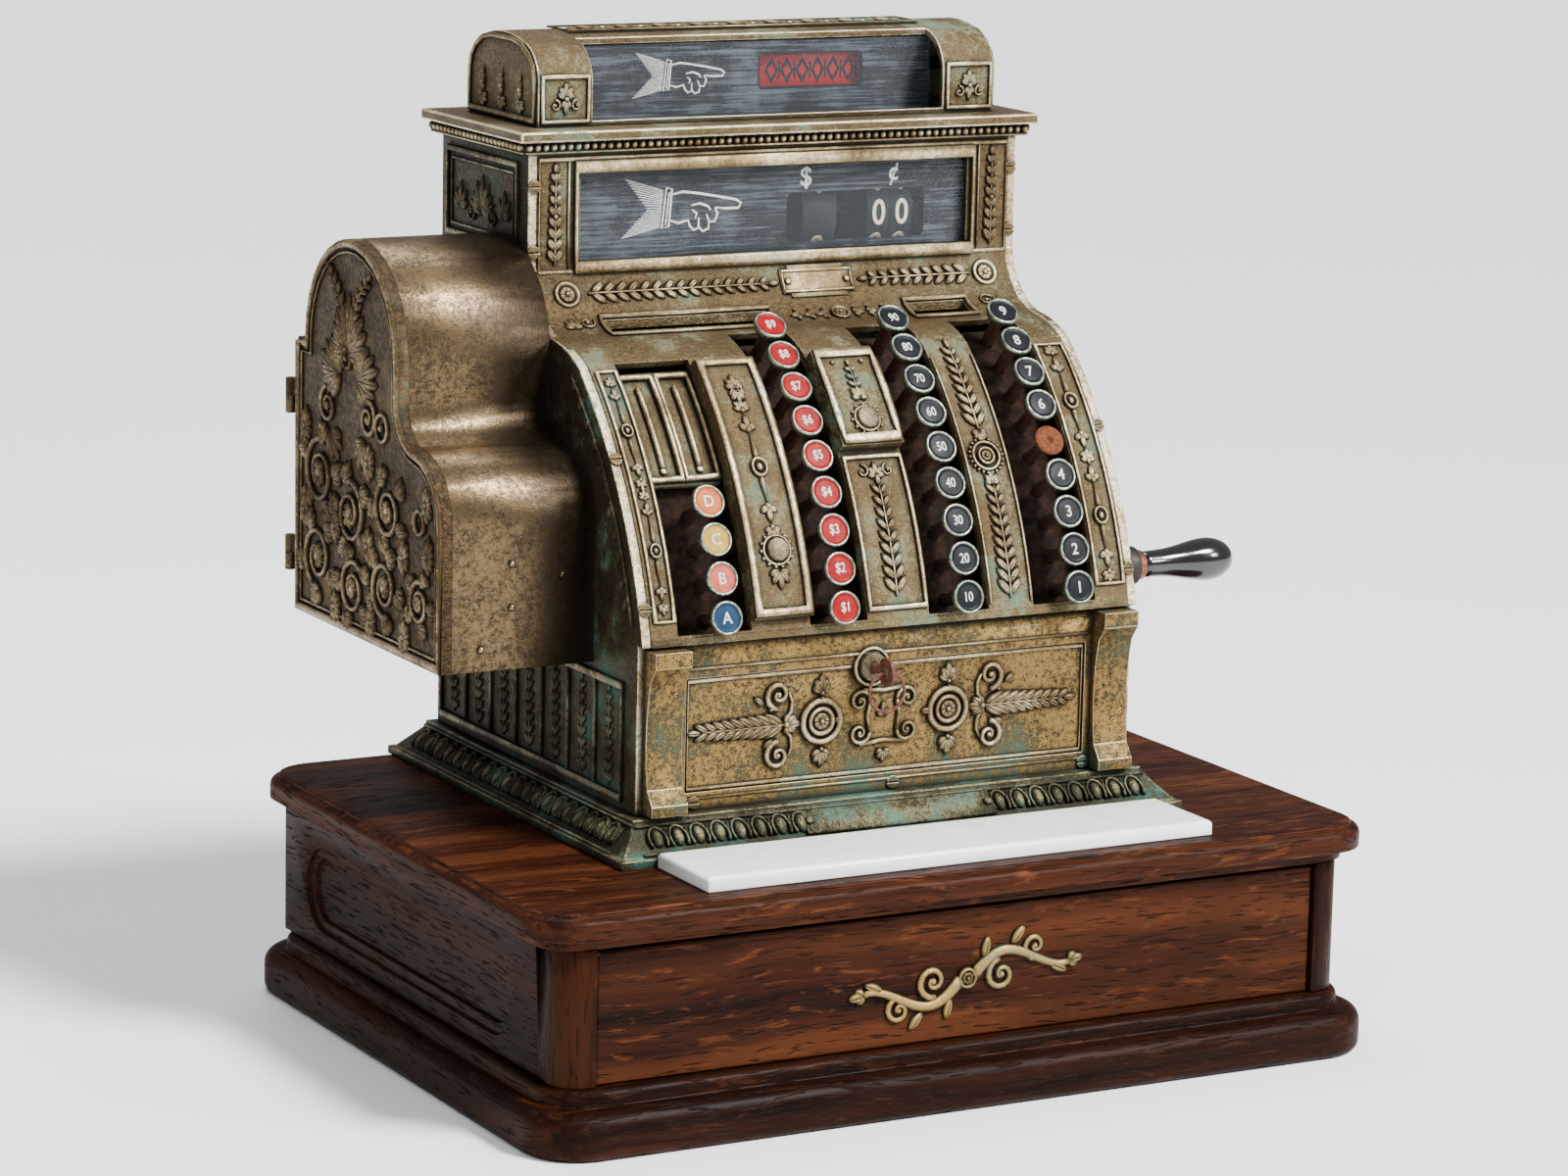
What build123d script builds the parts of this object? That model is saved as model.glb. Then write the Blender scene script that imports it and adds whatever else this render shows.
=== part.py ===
from build123d import *
import math
import os

os.makedirs("parts", exist_ok=True)

# Crank cash register. Millimetres, +Z up, front towards -Y.
# The origin is the middle of the oak case's underside.

# Oak case
plinth_length = 522.0
plinth_depth = 398.0
plinth_height = 26.0
plinth_corner = 33.0
bead_height = 9.0
plinth_hole_x = 218.0
plinth_hole_y = 154.0
body_half_width = 245.0
body_half_depth = 181.0
post_width = 21.2
post_depth = 28.0
post_round = 18.0
board_thickness = 14.0
case_bottom_low = 20.0
case_bottom_high = 32.0
top_board_low = 110.0
top_board_high = 131.0
nose_half_width = 261.0
nose_half_depth = 190.0
nose_step = 5.0
nose_low = 117.0
nose_high = 129.0
side_panel_length = 270.0
side_panel_height = 49.0
side_panel_middle_z = 70.0
side_panel_sink = 5.0
case_floor = plinth_height + bead_height

# Drawer
drawer_half_width = 223.2
drawer_front_y = -178.0
drawer_front_thickness = 17.0
drawer_front_low = 35.4
drawer_front_high = 107.4
drawer_wall = 9.0
drawer_back_y = 140.0
drawer_bottom_low = 36.0
drawer_bottom_high = 42.0
drawer_wall_high = 98.0
till_floor = 4.0
till_wall = 6.0
till_divider = 5.0
till_high = 90.0
till_columns = 5
till_coin_depth = 108.0
fit_gap = 0.3

# Brass cabinet
cabinet_half_width = 156.0
side_thickness = 6.0
lower_front_y = -87.0
upper_front_y = 54.0
cabinet_rear_y = 166.0
cabinet_floor = 153.0
cabinet_top = 496.0
key_arc_y = 167.6
key_arc_z = 189.4
front_radius = 266.0
front_thickness = 5.0
front_low_angle = 12.3
front_high_angle = 48.0
panel_thickness = 5.0

cornice_half_width = 165.0
cornice_top = 508.0
keyboard_floor = 246.6
window_half_width = 124.0
window_z = (434.4, 483.9)
sign_half_width = 145.5
sign_half_depth = 45.0
sign_top = 557.5
sign_window_half = 112.0
sign_glass_depth = 23.0
lock_radius = 8.0
lock_x = -12.0
lock_z = 224.0

# Keys: banks by their x, keys by their angle above the horizontal
bank_x = {"transaction": -109.3, "dollar": -36.8, "tens": 41.2, "cents": 112.5}
bank_keys = {"transaction": 4, "dollar": 9, "tens": 9, "cents": 9}
first_key_angle = 15.0
key_pitch_angle = 4.43
cap_radius = 9.5
cap_top_radius = 278.4
cap_height = 4.6
cup_floor = 1.2
disc_radius = 8.1
stem_radius = 3.5
stem_inner_radius = 236.0
guide_low_radius = 246.0
guide_high_radius = 250.0
guide_clearance = 0.4
missing_cap_hole = 2.4

# Slots in the keyboard front: low and high x
slot_ranges = {
    "transaction": (-134.0, -89.0),
    "dollar": (-53.0, -17.0),
    "tens": (21.6, 60.0),
    "cents": (88.6, 129.0),
}

# Crank, cam shaft and indicators
crank_y = 45.0
crank_z = 285.0
crank_reach = 113.2
crank_rest_angle = 191.2
crank_shaft_radius = 8.0
gear_module = 2.5
drive_teeth = 20
cam_teeth = 40
gear_width = 8.0
gear_low_x = 126.0
cam_direction = -60.0
cam_shaft_radius = 7.0
frame_inner_x = 138.0
frame_thickness = 5.0
running_fit = 0.05
indicator_y = 96.0
indicator_z = 452.4
indicator_radius = 31.0
indicator_shaft_radius = 4.0
sign_y = 109.0
sign_z = 532.0
sign_half_side = 13.0

# Printer on the left side
printer_end_x = -241.0
printer_door_thickness = 5.6
printer_wall = 3.0
printer_low = 228.0
hinge_x = -249.0
hinge_y = 165.0
hinge_low_z = (250.0, 340.0)
knuckle = 10.0
knuckle_radius = 3.0
pin_radius = 1.5
roll_y = 90.0
roll_z = 396.0
roll_x = (-222.0, -164.0)
spindle_of_roll = 4.0
cheek_thickness = 3.0
grip_end_x = 234.0
spindle_radius = 3.5
key_radius = 2.6
barrel_depth = 11.0
barrel_proud = 4.0
ring_radius = 11.0
upright = (Align.CENTER, Align.CENTER, Align.MIN)


lock_plane = Plane(origin=(lock_x, lower_front_y, lock_z), x_dir=(1, 0, 0), z_dir=(0, -1, 0))


def on_arc(x, radius, angle):
    """Plane on the keyboard's arc, facing outwards from its axis."""
    turn = math.radians(angle)
    out = (0, -math.cos(turn), math.sin(turn))
    place = (x, key_arc_y + radius * out[1], key_arc_z + radius * out[2])
    return Plane(origin=place, x_dir=(1, 0, 0), z_dir=out)


def curved_slab(x_low, x_high, r_low, r_high, angle_low, angle_high, mode=Mode.ADD):
    """A stretch of the keyboard's cylinder between two x, radii and angles."""
    middle = (key_arc_y, key_arc_z)
    sweep = angle_high - angle_low
    with BuildSketch(Plane.YZ.offset(x_low)) as outline:
        with BuildLine():
            outer = CenterArc(middle, r_high, 180 - angle_high, sweep)
            inner = CenterArc(middle, r_low, 180 - angle_high, sweep)
            Line(outer @ 0, inner @ 0)
            Line(outer @ 1, inner @ 1)
        make_face()
    extrude(outline.sketch, amount=x_high - x_low, mode=mode)


def block(x_range, y_range, z_range, mode=Mode.ADD):
    """A box between two corners."""
    size = [high - low for low, high in (x_range, y_range, z_range)]
    with Locations((x_range[0], y_range[0], z_range[0])):
        Box(*size, align=(Align.MIN, Align.MIN, Align.MIN), mode=mode)


def rod(x_low, x_high, y, z, radius, mode=Mode.ADD):
    """A round bar along X."""
    with Locations(Plane(origin=(x_low, y, z), x_dir=(0, 1, 0), z_dir=(1, 0, 0))):
        Cylinder(radius, x_high - x_low, align=(Align.CENTER, Align.CENTER, Align.MIN), mode=mode)


def save(builder, name):
    """Write one finished piece."""
    builder.part.label = name
    export_step(builder.part, f"parts/{name}.step")


def save_group(name, *builders):
    """Write separate pieces that share one node, each still its own solid."""
    group = Compound(children=[solid for made in builders for solid in made.part.solids()])
    group.label = name
    export_step(group, f"parts/{name}.step")


# ---- Oak case: plinth, boards, posts and rails ----
with BuildPart() as plinth:
    with BuildSketch():
        RectangleRounded(plinth_length, plinth_depth, plinth_corner)
        Rectangle(2 * plinth_hole_x, 2 * plinth_hole_y, mode=Mode.SUBTRACT)
    extrude(amount=plinth_height)
    outer_rim = plinth.faces().sort_by(Axis.Z)[-1].outer_wire().edges()
    fillet(outer_rim, 9)
    foot_rim = plinth.faces().sort_by(Axis.Z)[0].outer_wire().edges()
    fillet(foot_rim, 6)
    with BuildSketch(Plane.XY.offset(plinth_height)):
        RectangleRounded(2 * body_half_width + 10, 2 * body_half_depth + 10, 26)
        Rectangle(2 * plinth_hole_x, 2 * plinth_hole_y, mode=Mode.SUBTRACT)
    extrude(amount=bead_height)
    fillet(plinth.faces().sort_by(Axis.Z)[-1].outer_wire().edges(), 4)

with BuildPart() as case_boards:
    inner_x = body_half_width - board_thickness
    post_inner = body_half_width - post_width
    back_low = body_half_depth - board_thickness
    side_front = -body_half_depth + post_depth
    for side in (-1, 1):
        panel_plane = Plane(
            origin=(side * body_half_width, (side_front + body_half_depth) / 2, side_panel_middle_z),
            x_dir=(0, side, 0),
            z_dir=(side, 0, 0),
        )
        side_x = sorted((side * inner_x, side * body_half_width))
        block(side_x, (side_front, body_half_depth), (case_floor, top_board_low))
        with BuildSketch(panel_plane):
            SlotOverall(side_panel_length, side_panel_height)
        extrude(amount=-side_panel_sink / 2, mode=Mode.SUBTRACT)
        with BuildSketch(panel_plane.offset(-side_panel_sink / 2)):
            SlotOverall(side_panel_length - 12, side_panel_height - 12)
        extrude(amount=-side_panel_sink / 2, mode=Mode.SUBTRACT)

with BuildPart() as case_posts:
    for side in (-1, 1):
        middle = (side * (body_half_width - post_width / 2), -body_half_depth + post_depth / 2)
        with BuildSketch(Plane.XY.offset(case_floor)):
            with Locations(middle):
                Rectangle(post_width, post_depth)
        extrude(amount=top_board_low - case_floor)
    corners = case_posts.edges().filter_by(Axis.Z).group_by(Axis.Y)[0]
    left_corner = corners.sort_by(Axis.X)[0]
    right_corner = corners.sort_by(Axis.X)[-1]
    fillet([left_corner, right_corner], post_round)

with BuildPart() as case_back:
    block((-inner_x, inner_x), (back_low, body_half_depth), (case_floor, top_board_low))

with BuildPart() as case_bottom:
    floor_x = (-plinth_hole_x, plinth_hole_x)
    block(floor_x, (-plinth_hole_y, plinth_hole_y), (case_bottom_low, case_bottom_high))

with BuildPart() as case_rails:
    for side in (-1, 1):
        rail_x = sorted((side * (drawer_half_width + fit_gap), side * inner_x))
        block(rail_x, (side_front, back_low), (case_floor, case_floor + 16))

save_group("drawer_case", plinth, case_boards, case_posts, case_back, case_bottom, case_rails)

# ---- Moulded top board ----
with BuildPart() as top_board:
    with BuildSketch(Plane.XY.offset(top_board_low)):
        RectangleRounded(2 * (nose_half_width - 2 * nose_step), 2 * (nose_half_depth - 2 * nose_step), 22)
    extrude(amount=nose_low - top_board_low)
    with BuildSketch(Plane.XY.offset(nose_low)):
        RectangleRounded(2 * nose_half_width, 2 * nose_half_depth, 31)
    extrude(amount=nose_high - nose_low)
    rim = top_board.faces().sort_by(Axis.Z)[-1].outer_wire().edges()
    fillet(rim, 5)
    with BuildSketch(Plane.XY.offset(nose_high)):
        RectangleRounded(2 * (nose_half_width - nose_step), 2 * (nose_half_depth - nose_step), 26)
    extrude(amount=top_board_high - nose_high)
    fillet(top_board.faces().sort_by(Axis.Z)[-1].outer_wire().edges(), 1.5)
save(top_board, "top_board")

# ---- Drawer ----
with BuildPart() as drawer_front:
    front_y = (drawer_front_y, drawer_front_y + drawer_front_thickness)
    block((-drawer_half_width, drawer_half_width), front_y, (drawer_front_low, drawer_front_high))
    fillet(drawer_front.faces().sort_by(Axis.Y)[0].outer_wire().edges(), 1.5)

with BuildPart() as drawer_walls:
    wall_low_y = drawer_front_y + drawer_front_thickness
    wall_z = (drawer_bottom_low, drawer_wall_high)
    wall_in = drawer_half_width - drawer_wall
    for side in (-1, 1):
        wall_x = sorted((side * wall_in, side * drawer_half_width))
        block(wall_x, (wall_low_y, drawer_back_y), wall_z)

with BuildPart() as drawer_end:
    block((-wall_in, wall_in), (drawer_back_y - drawer_wall, drawer_back_y), wall_z)

with BuildPart() as drawer_base:
    base_y = (wall_low_y, drawer_back_y - drawer_wall)
    block((-wall_in, wall_in), base_y, (drawer_bottom_low, drawer_bottom_high))

save_group("drawer_box", drawer_front, drawer_walls, drawer_end, drawer_base)

# ---- Lift-out till: floor, rim and dividers as separate boards ----
till_half = wall_in - fit_gap
till_front = wall_low_y + fit_gap
till_back = drawer_back_y - drawer_wall - fit_gap
till_base_z = drawer_bottom_high + fit_gap
till_floor_z = till_base_z + till_floor
till_cross_low = till_front + till_wall + till_coin_depth
till_cross_high = till_cross_low + till_divider
cell_width = (2 * (till_half - till_wall) - (till_columns - 1) * till_divider) / till_columns

with BuildPart() as till_bottom:
    block((-till_half, till_half), (till_front, till_back), (till_base_z, till_floor_z))

with BuildPart() as till_sides:
    for side in (-1, 1):
        rim_x = sorted((side * (till_half - till_wall), side * till_half))
        block(rim_x, (till_front, till_back), (till_floor_z, till_high))

with BuildPart() as till_ends:
    end_half = till_half - till_wall
    block((-end_half, end_half), (till_front, till_front + till_wall), (till_floor_z, till_high))
    block((-end_half, end_half), (till_back - till_wall, till_back), (till_floor_z, till_high))

with BuildPart() as till_cross:
    block((-end_half, end_half), (till_cross_low, till_cross_high), (till_floor_z, till_high - 6))

with BuildPart() as till_dividers:
    for column in range(1, till_columns):
        low = -end_half + column * cell_width + (column - 1) * till_divider
        divider_x = (low, low + till_divider)
        block(divider_x, (till_front + till_wall, till_cross_low), (till_floor_z, till_high - 6))
        block(divider_x, (till_cross_high, till_back - till_wall), (till_floor_z, till_high - 6))
save_group("till_tray", till_bottom, till_sides, till_ends, till_cross, till_dividers)

# ---- Marble change shelf ----
with BuildPart() as marble_shelf:
    block((-156, 159), (-173, -114.3), (top_board_high, top_board_high + 8.5))
    fillet(marble_shelf.faces().sort_by(Axis.Z)[-1].outer_wire().edges(), 2.5)
save(marble_shelf, "marble_shelf")

# ---- Base casting: a sloped ring under the cabinet ----
casting_middle_y = 37.0
with BuildPart() as base_casting:
    with BuildSketch(Plane.XY.offset(top_board_high)):
        with Locations((0, casting_middle_y)):
            Rectangle(355, 302)
    extrude(amount=5)
    with BuildSketch(Plane.XY.offset(top_board_high + 5)):
        with Locations((0, casting_middle_y)):
            Rectangle(349, 296)
    with BuildSketch(Plane.XY.offset(cabinet_floor - 3)):
        with Locations((0, casting_middle_y + 1.5)):
            Rectangle(322, 266)
    loft()
    with BuildSketch(Plane.XY.offset(cabinet_floor - 3)):
        with Locations((0, casting_middle_y + 1.5)):
            Rectangle(322, 266)
    extrude(amount=3)
    with BuildSketch(Plane.XY.offset(top_board_high)):
        with Locations((0, (lower_front_y + cabinet_rear_y) / 2)):
            Rectangle(2 * cabinet_half_width - 22, cabinet_rear_y - lower_front_y - 22)
    extrude(amount=cabinet_floor - top_board_high, mode=Mode.SUBTRACT)
save(base_casting, "base_casting")


# ---- Cabinet walls: two sides and the back ----
def side_plate(x_low):
    """The cabinet's side outline, from the keyboard's curve up to the flat top."""
    sweep = front_high_angle - front_low_angle
    with BuildSketch(Plane.YZ.offset(x_low)) as outline:
        with BuildLine():
            band = CenterArc((key_arc_y, key_arc_z), front_radius, 180 - front_high_angle, sweep)
            shoulder = ThreePointArc(band @ 0, (4, 393.5), (21, 397))
            cove = ThreePointArc(shoulder @ 1, (46, 412), (upper_front_y, 437))
            Polyline(
                cove @ 1,
                (upper_front_y, cabinet_top),
                (cabinet_rear_y, cabinet_top),
                (cabinet_rear_y, cabinet_floor),
                (lower_front_y, cabinet_floor),
                (lower_front_y, (band @ 1).Y),
                band @ 1,
            )
        make_face()
    extrude(outline.sketch, amount=side_thickness)


wall_inner_x = cabinet_half_width - side_thickness
with BuildPart() as left_wall:
    side_plate(-cabinet_half_width)
    block((-cabinet_half_width, -wall_inner_x), (30, 140), (245, 366), mode=Mode.SUBTRACT)

with BuildPart() as right_wall:
    side_plate(wall_inner_x)
    rod(wall_inner_x, cabinet_half_width, crank_y, crank_z, crank_shaft_radius + 2, mode=Mode.SUBTRACT)

with BuildPart() as rear_wall:
    rear_y = (cabinet_rear_y - panel_thickness, cabinet_rear_y)
    block((-wall_inner_x, wall_inner_x), rear_y, (cabinet_floor, cabinet_top))
    block((-window_half_width, window_half_width), rear_y, window_z, mode=Mode.SUBTRACT)

save_group("cabinet_walls", left_wall, right_wall, rear_wall)

# ---- Lower front panel with its two corbels ----
corbel_top = 244.6
with BuildPart() as lower_panel:
    panel_y = (lower_front_y, lower_front_y + panel_thickness)
    block((-wall_inner_x, wall_inner_x), panel_y, (cabinet_floor, keyboard_floor))
    block((-126, 126), (lower_front_y, lower_front_y + 2), (163, 226), mode=Mode.SUBTRACT)
    with Locations(lock_plane):
        Cylinder(lock_radius, 30, mode=Mode.SUBTRACT)

with BuildPart() as corbels:
    for low_x in (-152, 130):
        with BuildSketch(Plane.YZ.offset(low_x)):
            with BuildLine():
                Polyline(
                    (lower_front_y, 154),
                    (lower_front_y - 12, 154),
                    (lower_front_y - 12, 160),
                    (lower_front_y - 6, 168),
                )
                belly = ThreePointArc(
                    (lower_front_y - 6, 168), (lower_front_y - 4, 200), (lower_front_y - 8, 228)
                )
                Polyline(
                    belly @ 1,
                    (lower_front_y - 14, 236),
                    (lower_front_y - 14, corbel_top),
                    (lower_front_y, corbel_top),
                    (lower_front_y, 154),
                )
            make_face()
        extrude(amount=22)
save_group("lower_front_panel", lower_panel, corbels)

# ---- Keyboard front: curved casting with four slots, and the key guide behind it ----
front_inner_radius = front_radius - front_thickness
last_key_angle = first_key_angle + 8 * key_pitch_angle
with BuildPart() as keyboard_casting:
    half = wall_inner_x
    curved_slab(-half, half, front_inner_radius, front_radius, front_low_angle, front_high_angle)
    curved_slab(-89, -53, front_radius, front_radius + 5, 14.5, front_high_angle - 1)
    curved_slab(-17, 21.6, front_radius, front_radius + 7, 34, front_high_angle - 1)
    for slot_low, slot_high in slot_ranges.values():
        curved_slab(slot_low, slot_high, 240, 290, 13.4, 60, mode=Mode.SUBTRACT)
    lip_high = keyboard_floor + 3
    block((-half, half), (lower_front_y - 5, lower_front_y + 4), (keyboard_floor, lip_high))

with BuildPart() as key_guide:
    half = frame_inner_x
    curved_slab(-half, half, guide_low_radius, guide_high_radius, 12.8, 52.6)
    for bank, x in bank_x.items():
        for number in range(bank_keys[bank]):
            angle = first_key_angle + number * key_pitch_angle
            with Locations(on_arc(x, guide_low_radius - 2, angle)):
                Cylinder(stem_radius + guide_clearance, 16, mode=Mode.SUBTRACT)

with BuildPart() as slot_covers:
    cover_low = first_key_angle + 4 * key_pitch_angle - 1
    for cover_x in (-133.5, -111.5):
        top_angle = front_high_angle - 0.5
        curved_slab(cover_x, cover_x + 22, guide_high_radius + 5, guide_high_radius + 9, cover_low, top_angle)
save_group("keyboard_front", keyboard_casting, key_guide, slot_covers)

# ---- Upper front panel: shoulder, cove and window frame ----
with BuildPart() as upper_front_panel:
    with BuildSketch(Plane.YZ.offset(-wall_inner_x)):
        with BuildLine():
            start = on_arc(0, front_radius, front_high_angle).origin
            shoulder = ThreePointArc((start.Y, start.Z), (4, 393.5), (21, 397))
            cove = ThreePointArc(shoulder @ 1, (46, 412), (upper_front_y, 437))
            inner_y = upper_front_y + 4
            Polyline(cove @ 1, (upper_front_y, cabinet_top), (inner_y, cabinet_top), (inner_y, 430))
            inner_cove = ThreePointArc((inner_y, 430), (48.9, 408.5), (22.5, 393.2))
            inner_end = on_arc(0, front_inner_radius, front_high_angle).origin
            inner_shoulder = ThreePointArc(inner_cove @ 1, (6, 389.7), (inner_end.Y, inner_end.Z))
            Line(inner_shoulder @ 1, shoulder @ 0)
        make_face()
    extrude(amount=2 * wall_inner_x)
    window_y = (upper_front_y - 10, inner_y + 2)
    block((-window_half_width, window_half_width), window_y, window_z, mode=Mode.SUBTRACT)
    for bank in ("dollar", "tens", "cents"):
        slot_low, slot_high = slot_ranges[bank]
        curved_slab(slot_low, slot_high, 240, 290, 47, 53, mode=Mode.SUBTRACT)
    for counter_x in ((-117, -15), (76, 113)):
        block(counter_x, (24, 37), (380, 420), mode=Mode.SUBTRACT)
save(upper_front_panel, "upper_front_panel")

# ---- Cornice ----
cornice_middle_y = (upper_front_y + cabinet_rear_y) / 2
with BuildPart() as cornice:
    with BuildSketch(Plane.XY.offset(cabinet_top)):
        with Locations((0, cornice_middle_y)):
            Rectangle(2 * cabinet_half_width + 8, cabinet_rear_y - upper_front_y + 8)
    extrude(amount=6)
    with BuildSketch(Plane.XY.offset(cabinet_top + 6)):
        with Locations((0, cornice_middle_y)):
            Rectangle(2 * cornice_half_width, cabinet_rear_y - upper_front_y + 20)
    extrude(amount=cornice_top - cabinet_top - 6)
save(cornice, "cornice")


# ---- Sign housing: two end caps, a roof and sills ----
def sign_prism(inset, mode=Mode.ADD):
    """Arched bar along X with the sign housing's end outline, shrunk by an inset."""
    foot = sign_half_depth - inset
    base = cornice_top
    shoulder = base + 26
    top = sign_top - inset
    with BuildSketch(Plane.YZ.offset(-sign_half_width + inset)) as outline:
        with BuildLine():
            Polyline((sign_y - foot, shoulder), (sign_y - foot, base), (sign_y + foot, base), (sign_y + foot, shoulder))
            ThreePointArc(
                (sign_y + foot, shoulder), (sign_y + foot - 6, top - 11), (sign_y + foot - 20, top - 3.5)
            )
            ThreePointArc((sign_y + foot - 20, top - 3.5), (sign_y, top), (sign_y - foot + 20, top - 3.5))
            ThreePointArc(
                (sign_y - foot + 20, top - 3.5), (sign_y - foot + 6, top - 11), (sign_y - foot, shoulder)
            )
        make_face()
    extrude(outline.sketch, amount=2 * (sign_half_width - inset), mode=mode)


with BuildPart() as sign_housing:
    sign_prism(0)
    sign_prism(3, mode=Mode.SUBTRACT)
    for low_y, high_y in ((sign_y - 60, sign_y - sign_glass_depth), (sign_y + sign_glass_depth, sign_y + 60)):
        open_half = sign_window_half
        block((-open_half, open_half), (low_y, high_y), (cornice_top + 3, sign_top + 1), mode=Mode.SUBTRACT)
save(sign_housing, "sign_housing")

# ---- Window panes, front and rear ----
with BuildPart() as indicator_panes:
    pane_x = (-window_half_width - 4, window_half_width + 4)
    pane_z = (window_z[0] - 4, window_z[1] + 4)
    block(pane_x, (inner_y, inner_y + 2.5), pane_z)
    rear_pane_y = cabinet_rear_y - panel_thickness
    block(pane_x, (rear_pane_y - 2.5, rear_pane_y), pane_z)

with BuildPart() as sign_panes:
    pane_x = (-sign_window_half - 4, sign_window_half + 4)
    pane_z = (cornice_top + 0.2, sign_top - 7.5)
    for low_y in (sign_y - sign_glass_depth, sign_y + sign_glass_depth - 2.5):
        block(pane_x, (low_y, low_y + 2.5), pane_z)
save_group("window_panes", indicator_panes, sign_panes)

# ---- Inner frame: two side plates, tie rods and the indicator shafts ----
cam_turn = math.radians(cam_direction)
gear_distance = gear_module * (drive_teeth + cam_teeth) / 2
cam_y = crank_y + gear_distance * math.cos(cam_turn)
cam_z = crank_z + gear_distance * math.sin(cam_turn)
tie_rods = ((-38, 172), (142, 175), (148, 330), (146, 415))
tie_radius = 5.0

with BuildPart() as frame_plates:
    for low_x in (-frame_inner_x - frame_thickness, frame_inner_x):
        with BuildSketch(Plane.YZ.offset(low_x)):
            with BuildLine():
                Polyline(
                    (-62, top_board_high),
                    (-62, 236),
                    (-40, 300),
                    (0, 352),
                    (36, 385),
                    (66, 398),
                    (66, 490),
                    (154, 490),
                    (154, top_board_high),
                    (-62, top_board_high),
                )
            make_face()
        extrude(amount=frame_thickness)
    across = (-frame_inner_x - 6, frame_inner_x + 6)
    rod(*across, crank_y, crank_z, crank_shaft_radius + running_fit, mode=Mode.SUBTRACT)
    rod(*across, cam_y, cam_z, cam_shaft_radius + running_fit, mode=Mode.SUBTRACT)
    rod(*across, indicator_y, indicator_z, indicator_shaft_radius, mode=Mode.SUBTRACT)
    for y, z in tie_rods:
        rod(*across, y, z, tie_radius, mode=Mode.SUBTRACT)

with BuildPart() as frame_rods:
    for y, z in tie_rods:
        rod(-frame_inner_x - frame_thickness, frame_inner_x + frame_thickness, y, z, tie_radius)

with BuildPart() as indicator_shaft:
    shaft_reach = frame_inner_x + frame_thickness
    rod(-shaft_reach, shaft_reach, indicator_y, indicator_z, indicator_shaft_radius)

with BuildPart() as sign_shaft:
    shaft_reach = sign_half_width - 3
    rod(-shaft_reach, shaft_reach, sign_y, sign_z, indicator_shaft_radius)
save_group("main_frame", frame_plates, frame_rods, indicator_shaft, sign_shaft)

# ---- Indicator wheels and the four-sided transaction drum ----
for name, low_x, width in (
    ("dollar_wheel", 23, 22),
    ("tens_wheel", 65, 14.6),
    ("cents_wheel", 80, 14.6),
):
    with BuildPart() as wheel:
        rod(low_x, low_x + width, indicator_y, indicator_z, indicator_radius)
        bore = indicator_shaft_radius + running_fit
        rod(low_x, low_x + width, indicator_y, indicator_z, bore, mode=Mode.SUBTRACT)
    save(wheel, name)

with BuildPart() as sign_drum:
    drum_x = (8, 76)
    half = sign_half_side
    block(drum_x, (sign_y - half, sign_y + half), (sign_z - half, sign_z + half))
    bore = indicator_shaft_radius + running_fit
    rod(drum_x[0], drum_x[1], sign_y, sign_z, bore, mode=Mode.SUBTRACT)
save(sign_drum, "sign_drum")


# ---- Printer cover, door, mechanism and paper roll ----
def printer_prism(low_x, length, inset, mode=Mode.ADD):
    """Bar along X with the printer's outline: lower lobe, concave step and dome."""
    front = -34.5 + inset
    rear = 160 - inset
    floor = printer_low + inset
    lobe = 38.3 - inset
    dome = 62 - inset
    cove = 22 + inset
    with BuildSketch(Plane.YZ.offset(low_x)) as outline:
        with BuildLine():
            Line((rear, floor), (front, floor))
            Line((front, floor), (front, 306))
            CenterArc((3.8, 306), lobe, 90, 90)
            Line((3.8, 306 + lobe), (1, 306 + lobe))
            CenterArc((1, 306 + 60.3), cove, 270, 90)
            Line((1 + cove, 366.3), (1 + cove, 386))
            CenterArc((85, 386), dome, 0, 180)
            Line((85 + dome, 386), (85 + dome, 384 - inset))
            Line((85 + dome, 384 - inset), (rear, 384 - inset))
            Line((rear, 384 - inset), (rear, floor))
        make_face()
    extrude(outline.sketch, amount=length, mode=mode)


printer_depth = -cabinet_half_width - printer_end_x
with BuildPart() as printer_cover:
    printer_prism(printer_end_x, printer_depth, 0)
    printer_prism(printer_end_x, printer_depth, printer_wall, mode=Mode.SUBTRACT)
    for low_z in hinge_low_z:
        block((hinge_x, printer_end_x + 14), (hinge_y - 1, hinge_y + 1), (low_z, low_z + knuckle))
        block((printer_end_x, printer_end_x + 14), (159, hinge_y + 1), (low_z, low_z + knuckle))
        with Locations((hinge_x, hinge_y, low_z)):
            Cylinder(knuckle_radius, knuckle, align=upright)

with BuildPart() as hinge_pins:
    for low_z in hinge_low_z:
        with Locations((hinge_x, hinge_y, low_z + knuckle)):
            Cylinder(pin_radius, knuckle, align=upright)
save_group("printer_cover", printer_cover, hinge_pins)

with BuildPart() as printer_door:
    door_x = printer_end_x - fit_gap - printer_door_thickness
    printer_prism(door_x, printer_door_thickness, 0)
    rod(door_x, printer_end_x, -7, 306.5, 4, mode=Mode.SUBTRACT)
    for low_z in hinge_low_z:
        knuckle_z = (low_z + knuckle + fit_gap, low_z + 2 * knuckle)
        block((hinge_x, door_x + printer_door_thickness), (159, hinge_y + 1), knuckle_z)
        with Locations((hinge_x, hinge_y, knuckle_z[0])):
            Cylinder(knuckle_radius, knuckle - fit_gap, align=upright)
        with Locations((hinge_x, hinge_y, knuckle_z[0])):
            Cylinder(pin_radius + running_fit, knuckle, align=upright, mode=Mode.SUBTRACT)
save(printer_door, "printer_door")

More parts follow.
